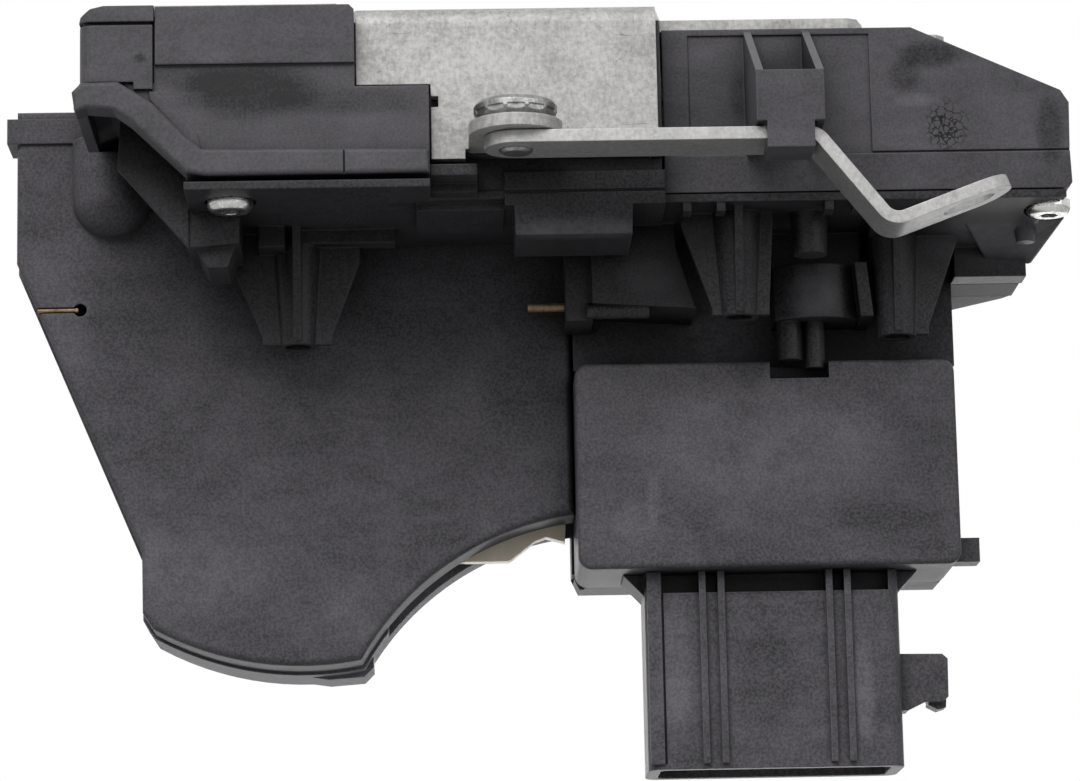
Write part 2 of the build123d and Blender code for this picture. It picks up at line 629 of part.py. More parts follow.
with BuildPart() as lower_cover:
    extrude(top_face(LID_OUTLINE, LID_TOP), amount=-LID_T)
    # the underside falls away to the back on the right
    slope = [
        (SIDE_FRONT + 1.0, LID_BOTTOM),
        (HOUSING_BACK, LID_BOTTOM),
        (HOUSING_BACK, SLOPE_BACK),
    ]
    extrude(side_face(slope, 22.5), amount=LID_RIGHT - 3.0 - 22.5)
    # skirts that close the gap up to the two housings
    box((LID_LEFT, LID_LEFT + RIB), (-17.0, HOUSING_BACK), (SKIRT_TOP, LID_TOP))
    box((LID_LEFT, BLOCK_RIGHT), (-17.1, -17.1 + RIB), (SKIRT_TOP, LID_TOP))
    skirt_y = (CAVITY_Y[0] + FIT, CAVITY_Y[0] + FIT + RIB)
    box((BLOCK_RIGHT + 0.9, HOUSING_RIGHT), skirt_y, (SKIRT_TOP, LID_TOP))
    box((BLOCK_RIGHT + 0.9, CAVITY_X[1] - FIT), skirt_y, (SKIRT_TOP + 2.6, LID_TOP))
    box((BLOCK_RIGHT - RIB, BLOCK_RIGHT), (-17.1, -12.8 + RIB), (SKIRT_TOP, LID_TOP))
    box((LID_LEFT, HOUSING_RIGHT), (HOUSING_BACK - RIB, HOUSING_BACK), (SKIRT_TOP, LID_TOP))
    for place in (SCREW_LEFT, SCREW_REAR):
        post(place, SCREW_BOSS_R + FIT, SKIRT_TOP, LID_TOP, mode=Mode.SUBTRACT)
    # ledge under the tongue's leg
    box((BLOCK_RIGHT, -42.4), (-19.6, -12.5), (-27.1, -28.9))
    box((BLOCK_RIGHT, -42.4), (-14.5, -12.5), (-28.0, LID_TOP - 0.5))
    # stepped block in the middle
    box((-38.0, -12.2), (-13.4, -11.0), (-26.9, LID_TOP))
    box((-38.0, -12.2), (-13.4, 2.0), (LID_TOP - 0.5, -32.4))
    with BuildSketch(Plane.XY.offset(-32.4)) as step_top:
        with Locations((-27.0, -5.7)):
            Rectangle(19.0, 15.4)
    extrude(amount=-4.9, taper=2)
    box((-52.2, -38.0), (-11.0, 4.0), (LID_BOTTOM, -32.6))
    # left foot, with a bevelled lower end, and the sloping gusset that runs up to the rim
    foot = [(FOOT_X[0], LID_BOTTOM), (FOOT_X[1], LID_BOTTOM), (FOOT_X[1], -36.8), (FOOT_X[0], -37.5)]
    extrude(front_face(foot, FOOT_FRONT), amount=-16.0)
    foot_end = [
        (FOOT_X[0] + 1.2, -37.0), (FOOT_X[1] - 0.6, -36.4), (FOOT_X[1] - 2.0, -40.4),
        (FOOT_X[0] + 3.0, -40.4),
    ]
    extrude(front_face(foot_end, FOOT_FRONT + 1.8), amount=-12.0)
    gusset = [
        (LID_LEFT, -37.7),
        (-100.3, -24.3),
        (-99.6, -14.2),
        (-98.5, -13.6),
        (-94.0, -17.1),
        (-86.3, -24.9),
        (-86.3, LID_BOTTOM),
        (LID_LEFT, LID_BOTTOM),
    ]
    extrude(front_face(gusset, FOOT_FRONT - 0.4), amount=-RIB)
    # root blocks of the left tower
    box((-78.2, -73.9), (3.0, 10.0), (LID_BOTTOM, -34.8))
    box((-72.0, -55.8), (6.0, 10.0), (LID_BOTTOM, -33.6))
    for place, bottom, wings in TOWERS:
        tower(place, bottom, wings)
    # locating ribs behind the front edge
    for rib_x in (-8.5, -3.0, 14.5, 19.0):
        box(
            (rib_x - RIB / 2, rib_x + RIB / 2), (SIDE_FRONT + 1.2, SIDE_FRONT + 5.0),
            (LID_BOTTOM, LID_BOTTOM - 1.5),
        )
    # slanted panel left of the middle tower, with its bar and side wall
    panel = [(-23.6, LID_BOTTOM), (-9.7, LID_BOTTOM), (-9.7, -35.3), (-6.6, -45.6), (-23.6, -44.5)]
    extrude(front_face(panel, 5.0), amount=-(HOUSING_BACK - 5.0))
    box((-27.9, -23.5), (7.0, HOUSING_BACK), (LID_BOTTOM, -47.0))
    rod_x((6.6, -45.6), 1.3, -24.5, -14.3)
    # short blind spigot, and the wall that carries the barrel-shaped panel and its slanted rib
    post((12.0, 0.0), 3.15, LID_BOTTOM, -38.2, end_radius=2.7)
    box((6.8, 21.6), (13.6, HOUSING_BACK), (LID_BOTTOM, -46.2))
    with BuildSketch(Plane.XY.offset(-37.6)) as barrel_plan:
        with Locations((13.7, HOUSING_BACK - 0.9)):
            Circle(9.6)
        with Locations((13.7, HOUSING_BACK + 9.0)):
            Rectangle(30, 18, mode=Mode.SUBTRACT)
        with Locations((-3.2, 10), (30.6, 10)):
            Rectangle(20, 60, mode=Mode.SUBTRACT)
    extrude(amount=-9.1)
    rib_shape = [(19.9, -37.8), (21.9, -37.8), (22.8, -46.9), (20.7, -46.9)]
    extrude(front_face(rib_shape, 7.0), amount=-(HOUSING_BACK - 7.0))
    # posts that lock into the connector box
    post((9.3, 13.0), 2.1, -46.0, -53.1)
    post((13.45, 13.2), 1.75, -46.0, -54.5)
    # pilot boss near the right screw, and the block in the corner
    post((48.1, 5.0), 2.15, LID_BOTTOM, -35.4, end_radius=1.5)
    block = [
        (BLOCK_X[0], LID_BOTTOM), (BLOCK_X[1], LID_BOTTOM), (BLOCK_X[1], BLOCK_END),
        (BLOCK_X[0], BLOCK_END),
    ]
    extrude(front_face(block, 13.0), amount=-(HOUSING_BACK - 13.0))
    # bores of the towers, and screw holes
    for place, bottom, wings in TOWERS:
        post(place, TOWER_BORE_R, -25, bottom - 1, mode=Mode.SUBTRACT)
        post(place, BOLT_TUBE_R, -25, LID_BOTTOM - 1.0, mode=Mode.SUBTRACT)
    for place in (SCREW_LEFT, SCREW_RIGHT, SCREW_REAR):
        post(place, SCREW_R + FIT, -25, -40, mode=Mode.SUBTRACT)
        post(place, SCREW_HEAD_R + 0.4, LID_BOTTOM + SCREW_SEAT, -44, mode=Mode.SUBTRACT)
save(lower_cover, "lower_cover")

# ---------------------------------------------------------------- back plate and the pins it holds
BACK_PLATE_TOP = FLOOR_BOTTOM - 0.1
BACK_PLATE_T = 1.6
BACK_PLATE = [(-66, -11), (-30, -11), (-14.8, -11), (-14.8, 12), (-27, 15), (-60, 15), (-66, 9)]
PIN_BOTTOM = BACK_PLATE_TOP - BACK_PLATE_T - 0.8

with BuildPart() as back_plate:
    extrude(top_face(BACK_PLATE, BACK_PLATE_TOP), amount=-BACK_PLATE_T)
    for place in (CLAW_PIVOT, PAWL_PIVOT):
        post(place, PIVOT_PIN_R - 0.6, BACK_PLATE_TOP, BACK_PLATE_TOP - BACK_PLATE_T, mode=Mode.SUBTRACT)
    box((MOUTH_L - 0.5, MOUTH_R + 0.5), (BUMP_Y - 1.4, 20), (-10, -20), mode=Mode.SUBTRACT)
save(back_plate, "back_plate")


def pivot_pin(place, name):
    """A shouldered pin, riveted over outside the face plate and below the back plate."""
    with BuildPart() as pin:
        post(place, PIVOT_PIN_R - 0.65, 0.0, PIN_BOTTOM)
        post(place, PIVOT_PIN_R, -PLATE_T - 0.02, BACK_PLATE_TOP + 0.02)
        post(place, PIVOT_PIN_R + 0.4, 0.7, 0.02, end_radius=PIVOT_PIN_R + 1.0)
        post(place, PIVOT_PIN_R - 0.65, 0.1, -PLATE_T)
        post(
            place, PIVOT_PIN_R + 0.9, BACK_PLATE_TOP - BACK_PLATE_T - 0.02, PIN_BOTTOM,
            end_radius=PIVOT_PIN_R + 0.4,
        )
    save(pin, name)


pivot_pin(CLAW_PIVOT, "claw_pin")
pivot_pin(PAWL_PIVOT, "pawl_pin")

# ---------------------------------------------------------------- claw, pawl and their springs
claw_rest = Plane(
    origin=(CLAW_PIVOT[0], CLAW_PIVOT[1], CLAW_TOP),
    x_dir=(cos(radians(CLAW_TRAVEL)), sin(radians(CLAW_TRAVEL)), 0),
    z_dir=(0, 0, 1),
)
STRIKER_REACH = MOUTH_X - CLAW_PIVOT[0]
THROAT_R = STRIKER_R + 0.5
ARM_HALF = 10.0


def claw_outline(plane, grow):
    """The claw in its own plane, its throat along local X; grow moves its outer edge."""
    with BuildSketch(plane) as sketch:
        Circle(CLAW_ARM_R + grow)
        with Locations((CLAW_ARM_R, 0)):
            Rectangle(2 * CLAW_ARM_R, 2 * (ARM_HALF + grow), mode=Mode.INTERSECT)
        Circle(CLAW_DISC_R + grow)
        with Locations((STRIKER_REACH, 0)):
            Circle(THROAT_R - grow, mode=Mode.SUBTRACT)
        with Locations((STRIKER_REACH + CLAW_ARM_R / 2, 0)):
            Rectangle(CLAW_ARM_R, 2 * (THROAT_R - grow), mode=Mode.SUBTRACT)
        # the notch that the pawl drops into
        with Locations(Location((1.0, -CLAW_RECESS_R - 2.5), 8)):
            Rectangle(5.0, 5.0, mode=Mode.SUBTRACT)
        Circle(PIVOT_PIN_R + PIN_FIT, mode=Mode.SUBTRACT)
    return sketch.sketch


with BuildPart() as claw:
    extrude(claw_outline(claw_rest, -0.6), amount=-CLAW_T)
save(claw, "claw")

with BuildPart() as claw_overmould:
    # a plastic skin round the claw's edge, which keeps the latch quiet
    extrude(claw_outline(claw_rest.offset(-0.7), 0.0), amount=-(CLAW_T - 1.4))
    extrude(claw_outline(claw_rest.offset(1), -0.6), amount=-(CLAW_T + 2), mode=Mode.SUBTRACT)
save(claw_overmould, "claw_overmould")

PAWL_TOP = CLAW_TOP - 0.3
PAWL_ARM = [
    (PAWL_PIVOT[0] - 1.0, PAWL_PIVOT[1] + 4.6),
    (-27.5, -7.6),
    (-33.0, -11.3),
    (-46.0, -11.5),
    (-48.6, -11.0),
    (-49.4, -11.9),
    (-48.4, -13.1),
    (-34.0, -13.1),
    (-24.0, -11.0),
    (PAWL_PIVOT[0], PAWL_PIVOT[1] - 4.7),
]

with BuildPart() as pawl:
    extrude(top_face(PAWL_ARM, PAWL_TOP), amount=-PAWL_T)
    post(PAWL_PIVOT, PAWL_HUB_R, PAWL_TOP, PAWL_TOP - PAWL_T)
    # lifting tail
    with BuildSketch(Plane.XY.offset(PAWL_TOP)) as tail:
        with Locations(Location((PAWL_PIVOT[0] - 1.0, PAWL_PIVOT[1] + 8.0), 0)):
            SlotCenterToCenter(8.0, 5.0, rotation=90)
    extrude(amount=-PAWL_T)
    post(PAWL_PIVOT, PIVOT_PIN_R + PIN_FIT, 0, -20, mode=Mode.SUBTRACT)
save(pawl, "pawl")


def coil(place, radius, wire, pitch, turns, bottom, name):
    """A round-wire spring, coiled about an upright pin."""
    with BuildPart() as spring:
        with BuildLine(Plane((place[0], place[1], bottom + wire))) as path:
            Helix(pitch, pitch * turns, radius)
        with BuildSketch(Plane(origin=path.line @ 0, z_dir=path.line % 0)):
            RegularPolygon(wire, 8)
        sweep(is_frenet=True)
    save(spring, name)


coil(CLAW_PIVOT, 4.4, 0.42, 0.95, 1.6, FLOOR_BOTTOM + 0.15, "claw_spring")
coil(PAWL_PIVOT, 4.0, 0.3, 0.7, 1.6, FLOOR_TOP + 0.2, "pawl_spring")

with BuildPart() as bump_stop:
    # soft stop at the closed end of the mouth, pressed into the housing's floor
    with BuildSketch(Plane.XY.offset(FLOOR_TOP - 0.2)):
        with Locations((MOUTH_X, BUMP_Y)):
            SlotOverall(12.0, 2.0)
    extrude(amount=-3.6)
save(bump_stop, "bump_stop")

# ---------------------------------------------------------------- outside lever and its rivet
LEVER_MID = LEVER_TOP - LEVER_T / 2
LEVER_KNEE = (10.8, LEVER_MID)
LEVER_HEEL = (22.2, -39.9)
LEVER_TIP = (LEVER_END, -32.8)
TIP_SLOPE = (LEVER_TIP[1] - LEVER_HEEL[1]) / (LEVER_TIP[0] - LEVER_HEEL[0])
tip_plane = Plane(
    origin=(LEVER_TIP[0], LEVER_PIVOT[1], LEVER_TIP[1]),
    x_dir=(1, 0, TIP_SLOPE),
    z_dir=(-TIP_SLOPE, 0, 1),
)

with BuildPart() as outside_lever:
    # the strip's side view, bent down at the knee and up again at the heel
    with BuildSketch(Plane.XZ.offset(-(LEVER_PIVOT[1] - LEVER_W / 2))):
        with BuildLine():
            FilletPolyline(
                (LEVER_PIVOT[0] - LEVER_W / 2, LEVER_MID), LEVER_KNEE, LEVER_HEEL, LEVER_TIP,
                radius=3.0,
            )
        trace(line_width=LEVER_T)
    extrude(amount=-LEVER_W)
    # round the pivot end
    with BuildSketch(Plane.XY.offset(LEVER_TOP + 1)):
        with Locations((LEVER_PIVOT[0] - LEVER_W / 4, LEVER_PIVOT[1])):
            Rectangle(LEVER_W / 2 + 0.2, LEVER_W + 1)
        with Locations(LEVER_PIVOT):
            Circle(LEVER_W / 2, mode=Mode.SUBTRACT)
    extrude(amount=-LEVER_T - 2, mode=Mode.SUBTRACT)
    # round the tip and cut its slot
    with BuildSketch(tip_plane.offset(3)):
        with Locations((-LEVER_W / 4 + 0.4, 0)):
            Rectangle(LEVER_W / 2 + 0.9, LEVER_W + 1)
        with Locations((-LEVER_W / 2, 0)):
            Circle(LEVER_W / 2, mode=Mode.SUBTRACT)
    extrude(amount=-6, mode=Mode.SUBTRACT)
    with BuildSketch(tip_plane.offset(3)):
        with Locations((-LEVER_W / 2 - 2.2, 0)):
            SlotOverall(8.6, 4.4)
    extrude(amount=-6, mode=Mode.SUBTRACT)
    post(LEVER_PIVOT, RIVET_R + PIN_FIT, LEVER_TOP + 1, LEVER_TOP - LEVER_T - 1, mode=Mode.SUBTRACT)
save(outside_lever, "outside_lever")

with BuildPart() as lever_rivet:
    # domed head with a crimped collar under it; the shank carries the lever
    with BuildSketch(Plane.XZ):
        with BuildLine():
            Polyline(
                (0, EAR_TOP + 3.9),
                (RIVET_HEAD_R * 0.62, EAR_TOP + 3.7),
                (RIVET_HEAD_R * 0.93, EAR_TOP + 3.2),
                (RIVET_HEAD_R, EAR_TOP + 2.6),
                (RIVET_HEAD_R, EAR_TOP + 1.5),
                (RIVET_HEAD_R - 0.9, EAR_TOP + 0.02),
                (RIVET_R - 0.02, EAR_TOP + 0.02),
                (RIVET_R - 0.02, LEVER_TOP - LEVER_T - 0.3),
                (RIVET_R - 0.5, LEVER_TOP - LEVER_T - 0.6),
                (0, LEVER_TOP - LEVER_T - 0.6),
                close=True,
            )
        make_face()
    revolve(axis=Axis.Z)
    # flats left by the crimping tool round the collar
    with Locations((0, 0, EAR_TOP + 1.0)):
        with PolarLocations(RIVET_HEAD_R + 0.35, 12):
            Box(1.4, 2.8, 1.6, mode=Mode.SUBTRACT)
lever_rivet.part.move(Location((LEVER_PIVOT[0], LEVER_PIVOT[1], 0)))
save(lever_rivet, "lever_rivet")

SCREW_TOP = LID_BOTTOM + SCREW_SEAT

with BuildPart() as cover_screws:
    for place in (SCREW_LEFT, SCREW_RIGHT, SCREW_REAR):
        post(place, SCREW_HEAD_R, SCREW_TOP - 0.05, SCREW_TOP - SCREW_HEAD_H)
    fillet(cover_screws.edges().group_by(Axis.Z)[0], 1.3)
    for place in (SCREW_LEFT, SCREW_RIGHT, SCREW_REAR):
        post(place, SCREW_R, SCREW_TOP + SCREW_LEN - 1.4, SCREW_TOP - 0.5)
    for place in (SCREW_LEFT, SCREW_RIGHT, SCREW_REAR):
        with BuildSketch(Plane.XY.offset(SCREW_TOP - SCREW_HEAD_H)):
            with Locations(place):
                RegularPolygon(1.5, 6)
        extrude(amount=1.4, mode=Mode.SUBTRACT)
save(cover_screws, "cover_screws")

# ---------------------------------------------------------------- actuator cover and base
CAP_TOP_Z = -6.8
WAIST_Z = -26.0           # top edge behind the latch, below the striker's path
CAP_RIGHT_X = -92.0
BULGE = (-103.3, -22.4)   # axis of the half-round tower, and the centre of its lower end
BULGE_R = 6.7
BULGE_TOP = -12.7
COVER_RIGHT_X = -26.8
COVER_BACK = COVER_FRONT + COVER_DEPTH
WIRE_HOLE = (-108.7, -41.3)
WIRE_R = 0.33


def actuator_outline(y, grow=0.0):
    """The actuator's outline on a plane facing the front, offset outwards by grow."""
    with BuildSketch(Plane.XZ.offset(-y)) as sketch:
        with BuildLine():
            Polyline(
                (COVER_RIGHT_X, -77.2),
                (COVER_RIGHT_X, WAIST_Z),
                (CAP_RIGHT_X + 2.5, WAIST_Z),
                (CAP_RIGHT_X, WAIST_Z + 2.5),
                (CAP_RIGHT_X, CAP_TOP_Z),
                (-119.4, CAP_TOP_Z),
                (-119.4, -33.0),
                (-98.5, -82.5),
                (-98.4, -92.4),
                (-96.6, -95.2),
            )
            ThreePointArc((-96.6, -95.2), (-80.0, -101.0), (-62.4, -100.8))
            ThreePointArc((-62.4, -100.8), (-47.0, -84.5), (COVER_RIGHT_X, -77.2))
        make_face()
        if grow:
            offset(amount=grow, kind=Kind.ARC if grow > 0 else Kind.INTERSECTION, mode=Mode.REPLACE)
    return sketch.sketch


with BuildPart() as actuator_cover:
    extrude(actuator_outline(COVER_FRONT), amount=-COVER_DEPTH)
    edge = actuator_cover.faces().sort_by(Axis.Y)[0].edges()
    fillet(edge, 1.2)
    extrude(actuator_outline(COVER_FRONT + WALL, -WALL), amount=-COVER_DEPTH, mode=Mode.SUBTRACT)
    # lip round the upper left end
    box((-121.0, -107.6), (COVER_FRONT - 0.5, COVER_BACK), (-8.3, -12.6))
    box(
        (-119.0, -107.8), (COVER_FRONT + WALL, COVER_BACK + 1), (-8.3 + 0.1, -12.6 - 0.1),
        mode=Mode.SUBTRACT,
    )
    # half-round tower that stands on this cover below the latch housing's end
    with Locations((BULGE[0], COVER_FRONT, (BULGE_TOP + BULGE[1]) / 2)):
        Cylinder(BULGE_R, BULGE_TOP - BULGE[1])
    with Locations((BULGE[0], COVER_FRONT, BULGE[1])):
        Sphere(BULGE_R)
    box((BLOCK_LEFT - FIT, -90), (0, HOUSING_BACK + FIT), (0, BULGE_TOP - 3.1), mode=Mode.SUBTRACT)
    box((-112, -90), (COVER_FRONT + 0.5, 40), (WAIST_Z + 16, -40), mode=Mode.SUBTRACT)
    # gate with a wire that lies in a groove and dives into a hole
    rod_y(WIRE_HOLE, 1.1, COVER_FRONT - 1, COVER_FRONT + WALL + 1, mode=Mode.SUBTRACT)
    groove_z = (WIRE_HOLE[1] + 0.5, WIRE_HOLE[1] - 0.5)
    box((-118.0, WIRE_HOLE[0]), (COVER_FRONT - 1, COVER_FRONT + 0.65), groove_z, mode=Mode.SUBTRACT)
save(actuator_cover, "actuator_cover")

with BuildPart() as hold_wire:
    rod_x((COVER_FRONT + 0.25, WIRE_HOLE[1]), WIRE_R, -115.8, WIRE_HOLE[0] - 0.3)
    rod_y((WIRE_HOLE[0] - 0.6, WIRE_HOLE[1]), WIRE_R, COVER_FRONT + 0.25 - WIRE_R, COVER_FRONT + 5.5)
save(hold_wire, "hold_wire")

UPPER_OUTLINE = [
    (COVER_RIGHT_X + 0.3, -12.0),
    (50.0, -12.0),
    (51.0, -14.0),
    (49.4, -34.8),
    (48.8, BLOCK_END),
    (37.3, BLOCK_END),
    (37.3, BOX_TOP + 0.3),
    (COVER_RIGHT_X + 0.3, BOX_TOP + 0.3),
]
UPPER_FRONT = HOUSING_BACK + FIT

with BuildPart() as upper_cover:
    # carries on the actuator's front behind the latch, above the connector box
    extrude(front_face(UPPER_OUTLINE, UPPER_FRONT), amount=-(COVER_BACK - UPPER_FRONT))
    inner = [(x + (WALL if x < 0 else -WALL), z + (WALL if z < -35 else -WALL)) for x, z in UPPER_OUTLINE]
    extrude(front_face(inner, UPPER_FRONT + WALL), amount=-COVER_DEPTH, mode=Mode.SUBTRACT)
save(upper_cover, "upper_cover")

BASE_FRONT = COVER_BACK + 0.05
DRAIN_LUG = [
    (-76.0, -99.6), (-76.0, -101.4), (-68.0, -102.6), (-62.2, -102.2), (-60.6, -100.6),
    (-60.6, -97.6),
]
BASE_SCREWS = [(-113.5, -20.0), (-88.0, -93.0), (-30.6, -37.0), (45.0, -20.0), (32.0, -46.0)]
BASE_LEFT_X = COVER_RIGHT_X - FIT
BASE_RIGHT = [
    (BASE_LEFT_X, -12.0),
    (50.0, -12.0),
    (51.0, -14.0),
    (49.6, -31.4),
    (37.3, -31.4),
    (37.3, BOX_BOTTOM + 2.6),
    (34.9, BOX_BOTTOM),
    (BASE_LEFT_X + 1.2, BOX_BOTTOM),
    (BASE_LEFT_X, BOX_BOTTOM + 2.6),
]


def base_right(y, inset):
    """The right part of the base, which the connector box stands on."""
    points = [
        (x - inset if x > 0 else x - 2 * inset, z + (inset if z < -35 else -inset))
        for x, z in BASE_RIGHT
    ]
    return front_face(points, y)


with BuildPart() as actuator_base:
    extrude(actuator_outline(BASE_FRONT, 0.5), amount=-(BASE_BACK - BASE_FRONT))
    extrude(base_right(BASE_FRONT, 0.0), amount=-(BASE_BACK - BASE_FRONT))
    fillet(actuator_base.faces().sort_by(Axis.Y)[-1].edges(), 1.5)
    # the corner block narrows towards the back
    block_plan = [(36.8, BASE_FRONT), (48.4, BASE_FRONT), (47.4, 30.0), (39.6, 39.0), (36.8, 40.0)]
    extrude(top_face(block_plan, -31.0), amount=BLOCK_END + 31.0)
    extrude(
        actuator_outline(BASE_FRONT, 0.5 - WALL), amount=-(BASE_BACK - BASE_FRONT - WALL),
        mode=Mode.SUBTRACT,
    )
    extrude(base_right(BASE_FRONT, WALL), amount=-(BASE_BACK - BASE_FRONT - WALL), mode=Mode.SUBTRACT)
    # seat for the connector box
    box((-27.0, 60.0), (BASE_FRONT - 1, BOX_BACK + 0.1), (BOX_TOP + 0.4, -95), mode=Mode.SUBTRACT)
    # the inside lever leaves through the side wall below the long curve
    box((-58.0, -25.0), (BASE_FRONT - 1, 33.6), (-70.0, -100.0), mode=Mode.SUBTRACT)
    # side wall beside the connector box, behind the inside lever
    box((BASE_LEFT_X, BASE_LEFT_X + WALL), (33.8, BASE_BACK - 1.0), (-78.5, BOX_BOTTOM + 2.6))
    # drain lug on the bottom wall
    extrude(front_face(DRAIN_LUG, 31.0), amount=-(BASE_BACK - 1.5 - 31.0))
    # stiffening ribs and cable trough on the back
    for rib_x in (-108.0, -100.0, -92.0):
        box((rib_x - RIB / 2, rib_x + RIB / 2), (BASE_BACK - 0.1, BASE_BACK + 1.6), (-12, -30))
    with BuildSketch(Plane.XZ.offset(-(BASE_BACK - 0.1))):
        with Locations(GEAR_AXIS):
            Circle(9.0)
            Circle(9.0 - RIB, mode=Mode.SUBTRACT)
        with Locations(LOCK_AXIS, INSIDE_AXIS):
            Circle(5.2)
            Circle(5.2 - RIB, mode=Mode.SUBTRACT)
    extrude(amount=-1.7)
    for place in BASE_SCREWS:
        rod_y(place, SCREW_R - 0.15, BASE_BACK - 1, BASE_BACK + 1, mode=Mode.SUBTRACT)
    # saddles for the motor
    for saddle_x in (-93.5, -77.0):
        box((saddle_x - RIB / 2, saddle_x + RIB / 2), (34.0, BASE_BACK - WALL + 0.2), (-72.5, -87.5))
    rod_x((SHAFT_Y, -80.0), MOTOR_R + 0.1, -97, -74, mode=Mode.SUBTRACT)
save(actuator_base, "actuator_base")

with BuildPart() as base_screws:
    for place in BASE_SCREWS:
        rod_y(place, SCREW_HEAD_R - 0.5, BASE_BACK + 0.05, BASE_BACK + 1.9)
        rod_y(place, SCREW_R - 0.2, BASE_BACK - 0.5, BASE_BACK + 0.05)
save(base_screws, "base_screws")

# ---------------------------------------------------------------- motor, worm and gear
WORM_AXIS_Z = GEAR_AXIS[1] - GEAR_R - WORM_R
PITCH = 2 * pi * GEAR_R / GEAR_TEETH
ADDENDUM = 0.9
WORM_TURNS = 5
WORM_LEFT = GEAR_AXIS[0] - PITCH * WORM_TURNS / 2
WORM_ROOT = WORM_R - ADDENDUM - FIT
MOTOR_LEFT = -96.4
MOTOR_RIGHT = WORM_LEFT - 2.4

with BuildPart() as motor_can:
    # drawn steel can with two flats
    with BuildSketch(Plane.YZ.offset(MOTOR_LEFT + 3)):
        with Locations((SHAFT_Y, WORM_AXIS_Z)):
            Circle(MOTOR_R)
            Rectangle(2 * MOTOR_R, 1.55 * MOTOR_R, mode=Mode.INTERSECT)
    extrude(amount=MOTOR_RIGHT - MOTOR_LEFT - 3)
    rod_x((SHAFT_Y, WORM_AXIS_Z), 1.2, MOTOR_RIGHT - 3, MOTOR_RIGHT + 1, mode=Mode.SUBTRACT)
save(motor_can, "motor_can")

with BuildPart() as motor_end_cap:
    with BuildSketch(Plane.YZ.offset(MOTOR_LEFT)):
        with Locations((SHAFT_Y, WORM_AXIS_Z)):
            Circle(MOTOR_R - 0.3)
            Rectangle(2 * MOTOR_R, 1.5 * MOTOR_R, mode=Mode.INTERSECT)
    extrude(amount=2.95)
save(motor_end_cap, "motor_end_cap")

with BuildPart() as motor_shaft:
    rod_x((SHAFT_Y, WORM_AXIS_Z), 1.0, MOTOR_RIGHT - 2.5, WORM_LEFT + PITCH * WORM_TURNS + 2.6)
save(motor_shaft, "motor_shaft")

with BuildPart() as worm:
    # one thread; its section is swept up the helix and the core is added after
    with BuildLine() as thread_path:
        Helix(PITCH, PITCH * WORM_TURNS, WORM_R)
    with BuildSketch(Plane(origin=thread_path.line @ 0, x_dir=(1, 0, 0), z_dir=thread_path.line % 0)):
        with BuildLine():
            Polyline(
                (WORM_ROOT - WORM_R - 0.2, -0.85),
                (ADDENDUM, -0.42),
                (ADDENDUM, 0.42),
                (WORM_ROOT - WORM_R - 0.2, 0.85),
                close=True,
            )
        make_face()
    sweep(is_frenet=True)
    with Locations((0, 0, PITCH * WORM_TURNS / 2)):
        Cylinder(WORM_ROOT, PITCH * WORM_TURNS + 1.4)
        Cylinder(1.0, PITCH * WORM_TURNS + 4, mode=Mode.SUBTRACT)
worm.part.move(Location((WORM_LEFT, SHAFT_Y, WORM_AXIS_Z), (0, 90, 0)))
save(worm, "worm")


def tooth(angle):
    """One gear tooth, as four points about the gear's axis."""
    step = 2 * pi / GEAR_TEETH
    root, tip = GEAR_R - ADDENDUM - FIT - 0.4, GEAR_R + ADDENDUM
    flank = [(root, -0.28 * step), (tip, -0.13 * step), (tip, 0.13 * step), (root, 0.28 * step)]
    return [(r * cos(angle + a), r * sin(angle + a)) for r, a in flank]


GEAR_RIM_T = 2.4
GEAR_MID = SHAFT_Y
PIN_REACH = 12.0
pin_angle = 21.4          # degrees; the drive pin's place on the gear, towards the lock lever
DRIVE_PIN = (
    GEAR_AXIS[0] + PIN_REACH * cos(radians(pin_angle)),
    GEAR_AXIS[1] + PIN_REACH * sin(radians(pin_angle)),
)
LOCK_Y = (35.2, 37.8)

with BuildPart() as worm_gear:
    with BuildSketch(Plane.XZ.offset(-(GEAR_MID - GEAR_RIM_T / 2))) as gear_shape:
        with Locations(GEAR_AXIS):
            Circle(GEAR_R - ADDENDUM - FIT)
        for index in range(GEAR_TEETH):
            turn = radians(-90) + (index + 0.5) * 2 * pi / GEAR_TEETH
            with BuildLine():
                Polyline(*[(GEAR_AXIS[0] + x, GEAR_AXIS[1] + z) for x, z in tooth(turn)], close=True)
            make_face()
    extrude(amount=-GEAR_RIM_T)
    rod_y(GEAR_AXIS, 5.0, GEAR_MID - 3, GEAR_MID + 3)
    rod_y(DRIVE_PIN, 1.5, GEAR_MID, LOCK_Y[1] + 0.4)
    rod_y(GEAR_AXIS, 2.0 + PIN_FIT, 20, 40, mode=Mode.SUBTRACT)
save(worm_gear, "worm_gear")


def cross_pin(place, radius, front, back, name):
    """A pin across the actuator, from its cover to its base."""
    with BuildPart() as pin:
        rod_y(place, radius, front, back)
    save(pin, name)


cross_pin(GEAR_AXIS, 2.0, COVER_FRONT + WALL + 0.05, BASE_BACK - WALL - 0.05, "gear_pin")
cross_pin(LOCK_AXIS, 2.0, COVER_FRONT + WALL + 0.05, BASE_BACK - WALL - 0.05, "lock_pin")
cross_pin(INSIDE_AXIS, 2.0, COVER_FRONT + WALL + 0.05, BASE_BACK - WALL - 0.05, "inside_pin")

# ---------------------------------------------------------------- lock lever and inside lever
FORK_HALF = 2.5

